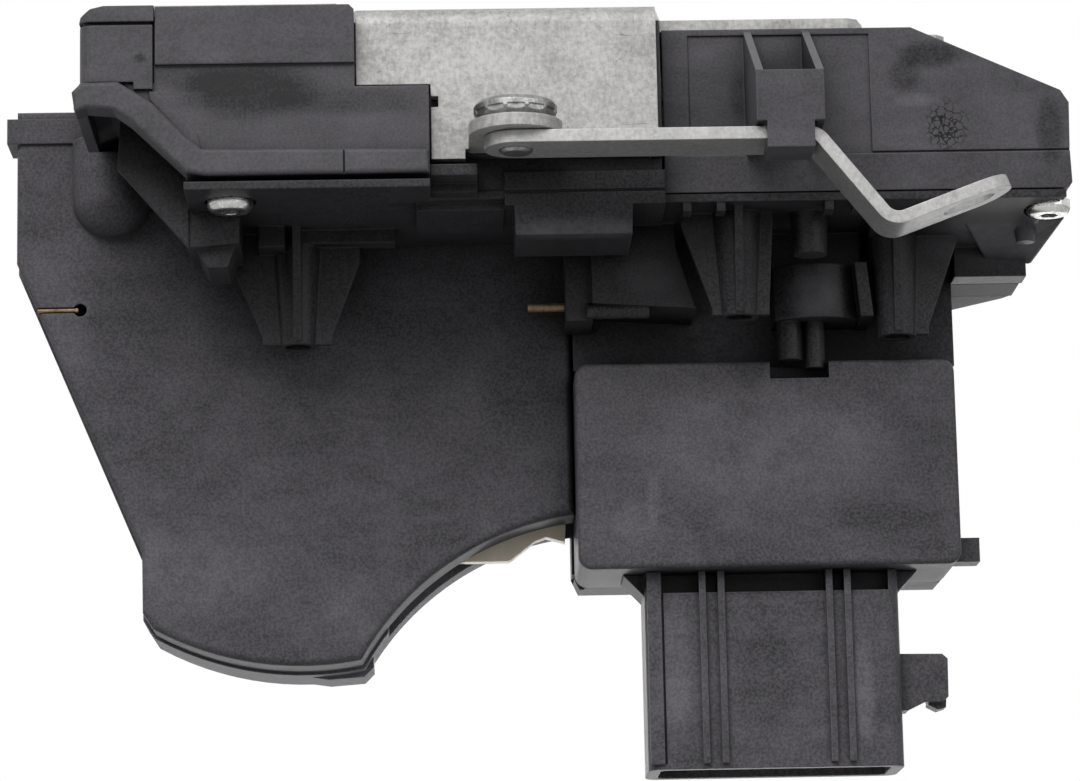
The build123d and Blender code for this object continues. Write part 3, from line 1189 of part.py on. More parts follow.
with BuildPart() as lock_lever:
    # forked at its left end round the gear's drive pin
    reach = hypot(DRIVE_PIN[0] - LOCK_AXIS[0], DRIVE_PIN[1] - LOCK_AXIS[1])
    fork_plane = Plane(
        origin=(LOCK_AXIS[0], LOCK_Y[0], LOCK_AXIS[1]),
        x_dir=(DRIVE_PIN[0] - LOCK_AXIS[0], 0, DRIVE_PIN[1] - LOCK_AXIS[1]),
        z_dir=(0, -1, 0),
    )
    with BuildSketch(fork_plane):
        Circle(5.0)
        with Locations((reach / 2 + 2.0, 0)):
            Rectangle(reach + 3.0, 9.0)
        with Locations((reach + 1.5, 0)):
            Rectangle(10.0, 2 * FORK_HALF, mode=Mode.SUBTRACT)
        with Locations((reach - 3.5, 0)):
            Circle(FORK_HALF, mode=Mode.SUBTRACT)
        # arm for the lock rod, on the far side of the pivot
        with Locations((-6.0, 3.0)):
            SlotOverall(16.0, 6.0, rotation=-25)
        with Locations((-10.5, 5.0)):
            Circle(1.6, mode=Mode.SUBTRACT)
        Circle(2.0 + PIN_FIT, mode=Mode.SUBTRACT)
    extrude(amount=-(LOCK_Y[1] - LOCK_Y[0]))
save(lock_lever, "lock_lever")

INSIDE_Y = (29.4, 32.0)

with BuildPart() as inside_lever:
    with BuildSketch(Plane.XZ.offset(-INSIDE_Y[0])) as lever_shape:
        with BuildLine():
            Polyline(
                (-38.8, -63.0),
                (-39.6, -72.5),
                (-46.4, -80.4),
                (-46.8, -83.3),
                (-37.6, -83.3),
                (-33.3, -80.0),
                (-31.4, -79.3),
                (-28.2, -80.2),
                (-28.0, -77.7),
                (-29.4, -66.0),
                close=True,
            )
        make_face()
        fillet(lever_shape.vertices().group_by(Axis.Y)[0], 0.9)
        with Locations(INSIDE_AXIS):
            Circle(5.0)
        with Locations(INSIDE_AXIS):
            Circle(2.0 + PIN_FIT, mode=Mode.SUBTRACT)
        with Locations((-44.0, -80.9)):
            Circle(1.0, mode=Mode.SUBTRACT)
    extrude(amount=-(INSIDE_Y[1] - INSIDE_Y[0]))
save(inside_lever, "inside_lever")

with BuildPart() as inside_spring:
    # torsion spring round the inside lever's pin, in front of the lever
    with BuildLine() as spring_path:
        Helix(1.0, 3.0, 3.2)
    with BuildSketch(Plane(origin=spring_path.line @ 0, z_dir=spring_path.line % 0)):
        RegularPolygon(0.4, 8)
    sweep(is_frenet=True)
inside_spring.part.move(Location((INSIDE_AXIS[0], 28.6, INSIDE_AXIS[1]), (90, 0, 0)))
save(inside_spring, "inside_spring")

# ---------------------------------------------------------------- switches and circuit
with BuildPart() as lock_switch:
    box((-47.0, -40.5), (BASE_BACK - WALL - 4.6, BASE_BACK - WALL - 0.05), (-34.8, -39.6))
    fillet(lock_switch.edges().filter_by(Axis.Y), 0.5)
save(lock_switch, "lock_switch")

with BuildPart() as latch_switch:
    box((-74.0, -67.6), (-8.0, -2.0), (FLOOR_BOTTOM - 0.1, FLOOR_BOTTOM - 6.0))
    fillet(latch_switch.edges().filter_by(Axis.Z), 0.5)
save(latch_switch, "latch_switch")

CARRIER_Y = (27.0, 29.0)
with BuildPart() as circuit_carrier:
    # stamped circuit on its plastic carrier, behind the connector box's front
    box((BOX_LEFT + 2.4, BOX_RIGHT - 2.4), CARRIER_Y, (BOX_TOP - 2.4, BOX_BOTTOM + 2.2))
save(circuit_carrier, "circuit_carrier")

# ---------------------------------------------------------------- connector
PIN_ROWS_Y = (20.4, 26.2)
PIN_COLUMNS = 8
PIN_PITCH = 4.0
PIN_TIP = -106.0
PIN_X0 = (SHROUD_LEFT + SHROUD_RIGHT) / 2 - PIN_PITCH * (PIN_COLUMNS - 1) / 2

with BuildPart() as connector_box:
    with BuildSketch(Plane.XZ.offset(-BOX_FRONT)):
        with Locations(((BOX_LEFT + BOX_RIGHT) / 2, (BOX_TOP + BOX_BOTTOM) / 2)):
            RectangleRounded(BOX_RIGHT - BOX_LEFT, BOX_TOP - BOX_BOTTOM, 2.2)
    extrude(amount=-(BOX_BACK - BOX_FRONT))
    fillet(connector_box.faces().sort_by(Axis.Y)[0].edges(), 0.9)
    with BuildSketch(Plane.XZ.offset(-(BOX_FRONT + WALL))):
        with Locations(((BOX_LEFT + BOX_RIGHT) / 2, (BOX_TOP + BOX_BOTTOM) / 2)):
            RectangleRounded(BOX_RIGHT - BOX_LEFT - 2 * WALL, BOX_TOP - BOX_BOTTOM - 2 * WALL, 1.0)
    extrude(amount=-(BOX_BACK - BOX_FRONT), mode=Mode.SUBTRACT)
    # notch that takes the lower cover's post
    box((5.7, 15.5), (BOX_FRONT - 1, BOX_FRONT + 5.5), (BOX_TOP + 1, -56.4), mode=Mode.SUBTRACT)
    # snap lug on the right side
    box((BOX_RIGHT - 0.3, BOX_RIGHT + 4.0), (19.0, 24.0), (-82.3, -86.3))
    box(
        (BOX_LEFT + WALL, BOX_RIGHT - WALL), (BOX_FRONT + WALL, BOX_BACK + 1),
        (BOX_TOP - WALL, BOX_BOTTOM + WALL),
        mode=Mode.SUBTRACT,
    )
    # slots for the terminals through the bottom
    for row in PIN_ROWS_Y:
        box(
            (PIN_X0 - 1.2, PIN_X0 + PIN_PITCH * (PIN_COLUMNS - 1) + 1.2), (row - 1, row + 1),
            (BOX_BOTTOM + 3, BOX_BOTTOM - 1),
            mode=Mode.SUBTRACT,
        )
save(connector_box, "connector_box")

SHROUD_TOP = BOX_BOTTOM - 0.1
SHROUD_FLOOR = SHROUD_TOP - 4.2
SHROUD_RECESS = -91.3
SHROUD_RIBS = (-6.3, -3.2, 14.6, 17.6)


def shroud_plan(z, inset):
    """The shroud's section at a height, or its cavity's with an inset."""
    with BuildSketch(Plane.XY.offset(z)) as sketch:
        with Locations(((SHROUD_LEFT + SHROUD_RIGHT) / 2, (SHROUD_FRONT + SHROUD_BACK) / 2)):
            RectangleRounded(
                SHROUD_RIGHT - SHROUD_LEFT - 2 * inset, SHROUD_BACK - SHROUD_FRONT - 2 * inset, 2.6 - inset / 2
            )
    return sketch.sketch


with BuildPart() as connector_shroud:
    extrude(shroud_plan(SHROUD_TOP, 0), amount=SHROUD_BOTTOM - SHROUD_TOP)
    extrude(
        shroud_plan(SHROUD_FLOOR, SHROUD_WALL), amount=SHROUD_BOTTOM - SHROUD_FLOOR - 1,
        mode=Mode.SUBTRACT,
    )
    # shadow recess below the box
    recess_x = (SHROUD_LEFT + 2.8, SHROUD_RIGHT - 1.8)
    box(
        recess_x, (SHROUD_FRONT - 1, SHROUD_FRONT + 3.4), (SHROUD_TOP + 1, SHROUD_RECESS),
        mode=Mode.SUBTRACT,
    )
    # keying ribs down the front, from the box to the rim
    for rib_x in SHROUD_RIBS:
        box(
            (rib_x - 0.55, rib_x + 0.55), (SHROUD_FRONT - 0.8, SHROUD_FRONT + 3.5),
            (SHROUD_TOP, SHROUD_RECESS - 0.1),
        )
        box(
            (rib_x - 0.55, rib_x + 0.55), (SHROUD_FRONT - 0.8, SHROUD_FRONT + 0.4),
            (SHROUD_RECESS, SHROUD_BOTTOM + 0.8),
        )
    # raised strip down the left edge, with a groove beside it
    box(
        (SHROUD_LEFT + 0.3, SHROUD_LEFT + 2.6), (SHROUD_FRONT - 0.5, SHROUD_FRONT + 0.4),
        (SHROUD_TOP, SHROUD_BOTTOM + 0.8),
    )
    groove_x = (SHROUD_LEFT + 2.6, SHROUD_LEFT + 3.0)
    box(
        groove_x, (SHROUD_FRONT - 1, SHROUD_FRONT + 0.4), (SHROUD_TOP + 1, SHROUD_BOTTOM + 0.8),
        mode=Mode.SUBTRACT,
    )
    # corner gussets
    for corner_x, side in ((SHROUD_LEFT, -1), (SHROUD_RIGHT, 1)):
        gusset = [
            (corner_x - side * 1.0, SHROUD_TOP),
            (corner_x + side * 3.4, SHROUD_TOP),
            (corner_x - side * 1.0, SHROUD_TOP - 4.6),
        ]
        extrude(front_face(gusset, SHROUD_FRONT + 3.0), amount=-10)
    # locking tab on the right side, with its hook
    tab = [
        (SHROUD_RIGHT - 0.8, -101.4),
        (33.4, -101.5),
        (34.3, -102.3),
        (34.2, -108.6),
        (33.3, -109.5),
        (30.3, -109.4),
        (27.4, -110.8),
        (SHROUD_RIGHT - 0.8, -110.8),
    ]
    extrude(front_face(tab, 19.6), amount=-1.6)
    hook = [(31.0, -106.5), (34.1, -106.5), (33.9, -110.2), (32.6, -110.6), (31.0, -109.8)]
    extrude(front_face(hook, 21.0), amount=-4.0)
    box((SHROUD_RIGHT - 0.3, SHROUD_RIGHT + 1.3), (19.6, 24.6), (-101.5, -110.8))
    # terminal slots
    for row in PIN_ROWS_Y:
        for column in range(PIN_COLUMNS):
            with Locations((PIN_X0 + PIN_PITCH * column, row, SHROUD_FLOOR + 2)):
                Box(1.1, 1.1, 12, mode=Mode.SUBTRACT)
save(connector_shroud, "connector_shroud")

with BuildPart() as connector_seal:
    extrude(shroud_plan(SHROUD_FLOOR - 0.05, SHROUD_WALL + 0.2), amount=-1.6)
    for row in PIN_ROWS_Y:
        for column in range(PIN_COLUMNS):
            with Locations((PIN_X0 + PIN_PITCH * column, row, SHROUD_FLOOR)):
                Box(1.3, 1.3, 12, mode=Mode.SUBTRACT)
save(connector_seal, "connector_seal")

with BuildPart() as connector_pins:
    for row in PIN_ROWS_Y:
        for column in range(PIN_COLUMNS):
            x = PIN_X0 + PIN_PITCH * column
            box((x - 0.4, x + 0.4), (row - 0.4, row + 0.4), (BOX_BOTTOM + 5, PIN_TIP))
save(connector_pins, "connector_pins")

with BuildPart() as link_pin:
    # tan pin end seen between the actuator cover and the lower cover
    rod_x((15.0, -42.9), 0.8, -34.0, -27.95)
save(link_pin, "link_pin")
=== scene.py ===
"""Looks for a side-door latch with its lock actuator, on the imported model."""

import json
import math

import bpy
from mathutils import Matrix, Vector


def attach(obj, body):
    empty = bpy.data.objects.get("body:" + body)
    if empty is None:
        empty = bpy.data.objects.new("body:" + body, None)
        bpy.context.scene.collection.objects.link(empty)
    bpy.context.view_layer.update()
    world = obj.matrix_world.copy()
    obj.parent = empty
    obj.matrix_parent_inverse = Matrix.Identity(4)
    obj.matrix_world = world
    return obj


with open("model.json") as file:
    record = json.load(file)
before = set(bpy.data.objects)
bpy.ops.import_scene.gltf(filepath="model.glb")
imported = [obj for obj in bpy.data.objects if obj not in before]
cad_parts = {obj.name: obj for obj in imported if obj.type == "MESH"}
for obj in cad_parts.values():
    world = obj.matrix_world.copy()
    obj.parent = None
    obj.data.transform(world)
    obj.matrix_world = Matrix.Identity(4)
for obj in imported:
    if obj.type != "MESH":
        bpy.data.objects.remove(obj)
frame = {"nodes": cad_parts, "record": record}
scene = bpy.context.scene
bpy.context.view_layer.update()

# ---------------------------------------------------------------- node helpers
MM = 0.001
BEVEL_SAMPLES = 6
OCCLUSION_SAMPLES = 8
EDGE_TURNED = 0.80    # cosine between a face and its rounded normal where an edge counts in full
EDGE_FLAT = 0.995     # and where it stops counting
SWAY_SIZE = 0.8       # size of the sway that bends cracks, as a share of their own size
SWAY_REACH = 1.1      # how far it bends them, as a share of their own size
MIX_FACTOR, MIX_A, MIX_B, MIX_RESULT = 0, 6, 7, 2    # a colour mix node's sockets


def add_node(tree, kind, **inputs):
    """A new shader node of this kind with these input values. An underscore stands for a space."""
    node = tree.nodes.new("ShaderNode" + kind)
    for key, value in inputs.items():
        node.inputs[key.replace("_", " ")].default_value = value
    return node


def seen_directly(tree):
    """1 where the camera looks, also by way of a mirror or glass, and 0 for light that falls on a surface."""
    paths = add_node(tree, "LightPath")
    seen = paths.outputs["Is Camera Ray"]
    for other in ("Is Glossy Ray", "Is Transmission Ray"):
        either = add_node(tree, "Math")
        either.operation = "MAXIMUM"
        tree.links.new(seen, either.inputs[0])
        tree.links.new(paths.outputs[other], either.inputs[1])
        seen = either.outputs[0]
    return seen


class Shader:
    """One material's node tree, with short calls for the nodes that are used often."""

    def __init__(self, name):
        self.material = bpy.data.materials.new(name)
        self.material.use_nodes = True
        self.tree = self.material.node_tree
        self.principled = self.tree.nodes["Principled BSDF"]
        self.place = self.add("TexCoord").outputs["Object"]

    def add(self, kind, **inputs):
        return add_node(self.tree, kind, **inputs)

    def link(self, source, target):
        self.tree.links.new(source, target)

    def set(self, **values):
        for key, value in values.items():
            self.principled.inputs[key.replace("_", " ")].default_value = value

    def scaled(self, stretch):
        """Object coordinates, stretched per axis."""
        node = self.add("Mapping", Scale=stretch)
        self.link(self.place, node.inputs["Vector"])
        return node.outputs["Vector"]

    def noise(self, size_mm, detail=2.0, rough=0.5, stretch=None, warp=0.0):
        """Noise whose features are about size_mm across."""
        scale = 1.0 / (size_mm * MM)
        node = self.add("TexNoise", Scale=scale, Detail=detail, Roughness=rough, Distortion=warp)
        self.link(self.scaled(stretch) if stretch else self.place, node.inputs["Vector"])
        return node.outputs["Fac"]

    def cracks(self, size_mm):
        """Thin branching lines: 0 on a line, rising away from it."""
        sway = self.add("TexNoise", Scale=1.0 / (SWAY_SIZE * size_mm * MM), Detail=3.0)
        self.link(self.place, sway.inputs["Vector"])
        bent = self.add("VectorMath")
        bent.operation = "MULTIPLY_ADD"
        self.link(sway.outputs["Color"], bent.inputs[0])
        bent.inputs[1].default_value = (SWAY_REACH * size_mm * MM,) * 3
        self.link(self.place, bent.inputs[2])
        node = self.add("TexVoronoi", Scale=1.0 / (size_mm * MM))
        node.feature = "DISTANCE_TO_EDGE"
        self.link(bent.outputs["Vector"], node.inputs["Vector"])
        return node.outputs["Distance"]

    def spot(self, centre_mm, radii_mm, soft=0.6):
        """A patch: 1 at its centre, 0 from its radii outwards. soft is the share of the radius that fades."""
        scale = [1.0 / (radius * MM) for radius in radii_mm]
        shift = [-c * MM * k for c, k in zip(centre_mm, scale)]
        node = self.add("Mapping", Scale=scale, Location=shift)
        self.link(self.place, node.inputs["Vector"])
        length = self.add("VectorMath")
        length.operation = "LENGTH"
        self.link(node.outputs["Vector"], length.inputs[0])
        fade = self.ramp(length.outputs["Value"], (1.0 - soft, 1.0), (1.0, 0.0))
        fade.node.color_ramp.interpolation = "EASE"
        return fade

    def rounded_normal(self, width_mm):
        """The surface's normal, with every edge rounded over width_mm."""
        bevel = self.add("Bevel", Radius=width_mm * MM)
        bevel.samples = BEVEL_SAMPLES
        return bevel.outputs["Normal"]

    def edges(self, width_mm):
        """1 on outer and inner edges, 0 on flat faces."""
        dot = self.add("VectorMath")
        dot.operation = "DOT_PRODUCT"
        self.link(self.rounded_normal(width_mm), dot.inputs[0])
        self.link(self.add("NewGeometry").outputs["Normal"], dot.inputs[1])
        return self.ramp(dot.outputs["Value"], (EDGE_TURNED, 1.0), (EDGE_FLAT, 0.0))

    def painted_corner_shade(self, reach_mm):
        """Painted shade: 1 on open faces, falling to 0 deep in corners and hollows."""
        node = self.add("AmbientOcclusion", Distance=reach_mm * MM)
        node.samples = OCCLUSION_SAMPLES
        return node.outputs["AO"]

    def ramp(self, source, *stops):
        """A number remapped through (position, value) stops."""
        node = self.add("ValToRGB")
        elements = node.color_ramp.elements
        while len(elements) < len(stops):
            elements.new(0.5)
        for element, (position, value) in zip(elements, stops):
            element.position = position
            element.color = (value, value, value, 1.0)
        self.link(source, node.inputs["Fac"])
        return node.outputs["Color"]

    def feed(self, socket, value):
        """Give a socket another socket, a colour or a number."""
        if isinstance(value, bpy.types.NodeSocket):
            self.link(value, socket)
        elif isinstance(value, tuple):
            socket.default_value = (*value, 1.0)
        else:
            socket.default_value = value

    def mix(self, factor, a, b, blend="MIX"):
        """Colour mix. A factor, a or b may be a socket or a value."""
        node = self.add("Mix")
        node.data_type = "RGBA"
        node.blend_type = blend
        for index, value in ((MIX_FACTOR, factor), (MIX_A, a), (MIX_B, b)):
            self.feed(node.inputs[index], value)
        return node.outputs[MIX_RESULT]

    def math(self, operation, *values):
        node = self.add("Math")
        node.operation = operation
        for socket, value in zip(node.inputs, values):
            self.feed(socket, value)
        return node.outputs[0]

    def product(self, a, b):
        return self.math("MULTIPLY", a, b)

    def blend(self, a, b, share):
        """share of a, and the rest of b."""
        return self.math("MULTIPLY_ADD", a, share, self.product(b, 1.0 - share))

    def relief(self, height, depth_mm, edge_mm=0.0):
        """Bump from a height socket, over edges softened by edge_mm."""
        bump = self.add("Bump", Strength=1.0, Distance=depth_mm * MM)
        self.link(height, bump.inputs["Height"])
        if edge_mm:
            self.link(self.rounded_normal(edge_mm), bump.inputs["Normal"])
        self.link(bump.outputs["Normal"], self.principled.inputs["Normal"])


# ---------------------------------------------------------------- materials
VIOLET = (1.0, 0.955, 1.05)   # the faint tint of this black plastic
DARKEST = 0.22                # darkest and palest tone of a moulding, as shares of its middle level
PALEST = 1.78
WEAR_AND_SHEEN = 2.2                    # tone of paler edges, worn and with a painted highlight, as a share of the middle level, plus the lift below
WEAR_AND_SHEEN_LIFT = 0.02
EDGE_MM = 0.4                 # how far wear, the painted edge highlight and rounding reach from a moulding's edge
EDGE_WEAR_AND_SHEEN = 0.4
# tone of the paler veils that paint light from below onto the lower cover
VEIL_LEVEL = 0.11
MARK_LEVEL = 0.006
CORNER_SHADE_REACH_MM = 16.0
CORNER_SHADE_DEEP = (0.22, 0.16)    # painted shade in corners and hollows: openness, and how much of the colour is left there
CORNER_SHADE_OPEN = (0.80, 1.0)
SPECK_DARK = 0.35             # tone of specks and scratches in sheet metal, as a share of its dark colour
SHEET_EDGE_MM = 0.3
SHEET_EDGE_WEAR = 0.25
SHEET_EDGE_PALE = 1.25
SCATTER_MM = 1.5              # how far light travels inside the cream plastic


def grey(level):
    """A slightly violet grey at this linear level."""
    return tuple(level * c for c in VIOLET)


def moulded(
    name, level, roughness, gloss, grain=0.36, dust=0.34, relief_mm=0.03, patches=(), pale_veils=(), flow_mark=None
):
    """Black engineering plastic around a middle level: fine speckle, cloudy dust, paler edges from wear and a
    painted highlight, painted light as paler veils, and painted shade in corners.
    """
    s = Shader(name)
    fine = s.noise(0.42, detail=1.0, rough=0.5)
    coarse = s.noise(1.3, detail=3.0, rough=0.65)
    cloud = s.noise(17.0, detail=5.0, rough=0.6, warp=0.8)
    streak = s.noise(7.0, detail=4.0, rough=0.62, stretch=(0.45, 1.0, 1.6), warp=0.5)
    speck = s.ramp(s.blend(fine, coarse, 0.82), (0.36, 0.0), (0.64, 1.0))
    haze = s.ramp(s.blend(cloud, streak, 0.6), (0.36, 0.0), (0.64, 1.0))
    tone = s.math("MULTIPLY_ADD", speck, grain, 0.5 - 0.5 * (grain + dust))
    tone = s.math("MULTIPLY_ADD", haze, dust, tone)
    ragged = s.ramp(s.blend(cloud, coarse, 0.6), (0.30, 0.35), (0.60, 1.0))
    # patches: paler and darker areas, some of them painted light and shade
    for centre, radii, amount in patches:
        tone = s.math("MULTIPLY_ADD", s.product(s.spot(centre, radii), ragged), amount, tone)
    base = s.mix(s.ramp(tone, (0.0, 0.0), (1.0, 1.0)), grey(DARKEST * level), grey(PALEST * level))
    # paler edges: wear, and a painted highlight along the rounded edges
    base = s.mix(s.product(s.edges(EDGE_MM), EDGE_WEAR_AND_SHEEN), base, grey(WEAR_AND_SHEEN * level + WEAR_AND_SHEEN_LIFT))
    # paler veils: painted light from below on undersides
    for centre, radii, amount in pale_veils:
        veil = s.product(s.product(s.spot(centre, radii), ragged), amount)
        base = s.mix(veil, base, grey(VEIL_LEVEL))
    height = s.blend(fine, streak, 0.8)
    if flow_mark:
        centre, radii, size_mm = flow_mark
        ragged_cracks = s.math("ADD", s.cracks(size_mm), s.product(coarse, 0.12))
        lines = s.ramp(ragged_cracks, (0.10, 1.0), (0.16, 0.0))
        mark = s.product(lines, s.spot(centre, radii, soft=0.5))
        base = s.mix(mark, base, grey(MARK_LEVEL))
        height = s.math("MULTIPLY_ADD", mark, -2.0, height)
    # painted shade: the colour darkened in corners and hollows
    corner_shade = s.ramp(s.painted_corner_shade(CORNER_SHADE_REACH_MM), CORNER_SHADE_DEEP, CORNER_SHADE_OPEN)
    base = s.mix(1.0, base, corner_shade, blend="MULTIPLY")
    s.link(base, s.principled.inputs["Base Color"])
    sheen = s.ramp(tone, (0.1, roughness - 0.05), (0.9, roughness + 0.1))
    s.link(sheen, s.principled.inputs["Roughness"])
    s.set(Specular_IOR_Level=gloss)
    s.relief(height, depth_mm=relief_mm, edge_mm=EDGE_MM)
    return s


def sheet_metal(name, dark, pale, roughness, metallic, speck=0.6, edge_mm=0.25, patches=()):
    """Zinc-plated sheet: fine mottle, cloudy stains, dark specks and short scratches."""
    s = Shader(name)
    mottle = s.noise(0.9, detail=3.0, rough=0.7)
    cloud = s.noise(9.0, detail=5.0, rough=0.65, warp=0.6)
    brushed = s.noise(0.5, detail=2.0, rough=0.6, stretch=(1.0, 1.0, 0.25))
    specks = s.ramp(s.noise(1.7, detail=4.0, rough=0.8), (0.66, 0.0), (0.70, 1.0))
    lines = s.noise(2.0, detail=3.0, rough=0.6, stretch=(0.3, 1.0, 1.7), warp=1.8)
    scratches = s.ramp(lines, (0.70, 0.0), (0.73, 1.0))
    tone = s.blend(s.blend(mottle, brushed, 0.72), cloud, 0.6)
    # patches: for the plate, a painted shade along its fold
    for centre, radii, amount in patches:
        tone = s.math("MULTIPLY_ADD", s.spot(centre, radii), amount, tone)
    base = s.mix(s.ramp(tone, (0.40, 0.0), (0.60, 1.0)), dark, pale)
    marks = s.product(s.math("MAXIMUM", specks, scratches), speck)
    base = s.mix(marks, base, tuple(SPECK_DARK * c for c in dark))
    worn = s.product(s.edges(SHEET_EDGE_MM), SHEET_EDGE_WEAR)
    base = s.mix(worn, base, tuple(SHEET_EDGE_PALE * c for c in pale))
    s.link(base, s.principled.inputs["Base Color"])
    sheen = s.ramp(tone, (0.38, roughness + 0.08), (0.62, roughness - 0.05))
    s.link(sheen, s.principled.inputs["Roughness"])
    s.set(Metallic=metallic, Specular_IOR_Level=0.4)
    s.relief(s.math("MULTIPLY_ADD", specks, -0.8, mottle), depth_mm=0.03, edge_mm=edge_mm)
    return s


def turned_metal(name, dark, pale, roughness, metallic=1.0, edge_mm=0.2, wear_mm=1.6):
    """Plated fasteners with handling marks."""
    s = Shader(name)
    wear = s.noise(wear_mm, detail=4.0, rough=0.7, warp=0.5)
    grain = s.noise(0.35, detail=2.0)
    tone = s.blend(wear, grain, 0.7)
    s.link(s.mix(s.ramp(tone, (0.38, 0.0), (0.62, 1.0)), dark, pale), s.principled.inputs["Base Color"])
    s.link(s.ramp(wear, (0.35, roughness + 0.12), (0.65, roughness - 0.05)), s.principled.inputs["Roughness"])
    s.set(Metallic=metallic)
    s.relief(tone, depth_mm=0.02, edge_mm=edge_mm)
    return s


def soft_plastic(name, dark, pale, roughness, translucent=0.0):
    """Smooth unfilled plastic or rubber with faint clouding."""
    s = Shader(name)
    cloud = s.noise(6.0, detail=3.0, rough=0.55)
    fine = s.noise(0.5, detail=2.0)
    s.link(s.mix(s.ramp(cloud, (0.35, 0.0), (0.65, 1.0)), dark, pale), s.principled.inputs["Base Color"])
    s.link(s.ramp(fine, (0.3, roughness - 0.04), (0.7, roughness + 0.06)), s.principled.inputs["Roughness"])
    s.set(Subsurface_Weight=translucent, Subsurface_Scale=SCATTER_MM * MM)
    s.relief(fine, depth_mm=0.012, edge_mm=0.3)
    return s


# soft patches: centre and radii in millimetres, and how much paler (or darker) they are
HOUSING_PATCHES = (
    ((-78.5, -19.3, -14.6), (14.0, 5.0, 6.0), -0.6),
    ((-88.0, -19.3, -12.0), (9.0, 5.0, 3.0), -0.25),
    ((-62.0, -19.3, -16.5), (16.0, 5.0, 3.0), -0.25),
    ((-95.8, -19.0, -9.1), (1.5, 3.0, 1.2), -0.5),
    ((31.6, -10.0, -7.4), (6.5, 3.0, 3.0), -0.5),
    ((27.4, -10.0, -10.8), (3.5, 3.0, 4.0), -0.4),
    ((29.4, -10.0, -15.0), (4.5, 3.0, 1.6), 0.3),
    ((50.6, -10.0, -20.3), (3.0, 3.0, 7.0), -0.4),
    ((1.0, -10.0, -14.0), (3.0, 3.0, 6.0), -0.35),
)
FLOW_MARK = ((33.9, -10.0, -19.4), (4.3, 5.0, 5.4), 1.15)
# on the connector box: a painted pool of light over its centre, and smaller paler and darker patches
BOX_TONE_AND_LIGHT = (
    ((5.0, 11.0, -67.0), (26.0, 6.0, 13.0), 0.34),
    ((24.0, 11.0, -80.0), (12.0, 5.0, 4.0), -0.25),
    ((-17.0, 11.0, -80.0), (5.0, 5.0, 5.0), 0.25),
    ((-14.0, 11.0, -76.0), (1.6, 5.0, 6.0), 0.25),
)
# on the connector shroud: painted shadow along its top under the box, and paler and darker strips lower down
SHROUD_SHADOW_AND_TONE = (
    ((2.9, 17.5, -90.5), (17.5, 3.5, 3.0), -1.2),
    ((-13.0, 17.5, -90.5), (6.0, 3.5, 3.0), -1.0),
    ((18.0, 17.5, -90.5), (6.0, 3.5, 3.0), -1.0),
    ((4.0, 15.0, -106.0), (6.5, 5.0, 14.0), -0.18),
    ((19.8, 15.0, -108.0), (2.4, 5.0, 11.0), 0.45),
    ((-11.0, 15.0, -105.0), (3.5, 5.0, 14.0), 0.28),
)
# on the actuator cover: a painted shadow under the latch at its upper right, and painted light making it
# paler towards the bottom and at the left
ACTUATOR_LIGHT_AND_SHADE = (
    ((-92.1, 19.0, -86.0), (18.0, 6.0, 9.0), 0.30),
    ((-59.2, 19.0, -92.0), (14.0, 6.0, 8.0), 0.28),
    ((-35.0, 19.0, -56.0), (10.0, 6.0, 12.0), -0.22),
    ((-112.0, 19.0, -42.0), (7.0, 6.0, 16.0), 0.2),
)
# paler veils on the lower cover's undersides: painted light from below
COVER_LIT_VEILS = (
    ((44.0, 6.0, -35.0), (15.0, 12.0, 5.0), 1.0),
    ((-26.0, -15.0, -37.0), (14.0, 7.0, 3.5), 0.7),
    ((12.5, 8.0, -43.0), (6.0, 5.0, 5.5), 0.75),
    ((-14.0, 5.0, -40.0), (7.0, 5.0, 4.0), 0.35),
    ((21.5, 0.0, -40.0), (2.0, 6.0, 8.0), 0.5),
)
# painted shade along the top of the plate's fold
PLATE_FOLD_SHADE = (
    ((-38.0, -3.0, 2.2), (90.0, 9.0, 3.0), -0.16),
)

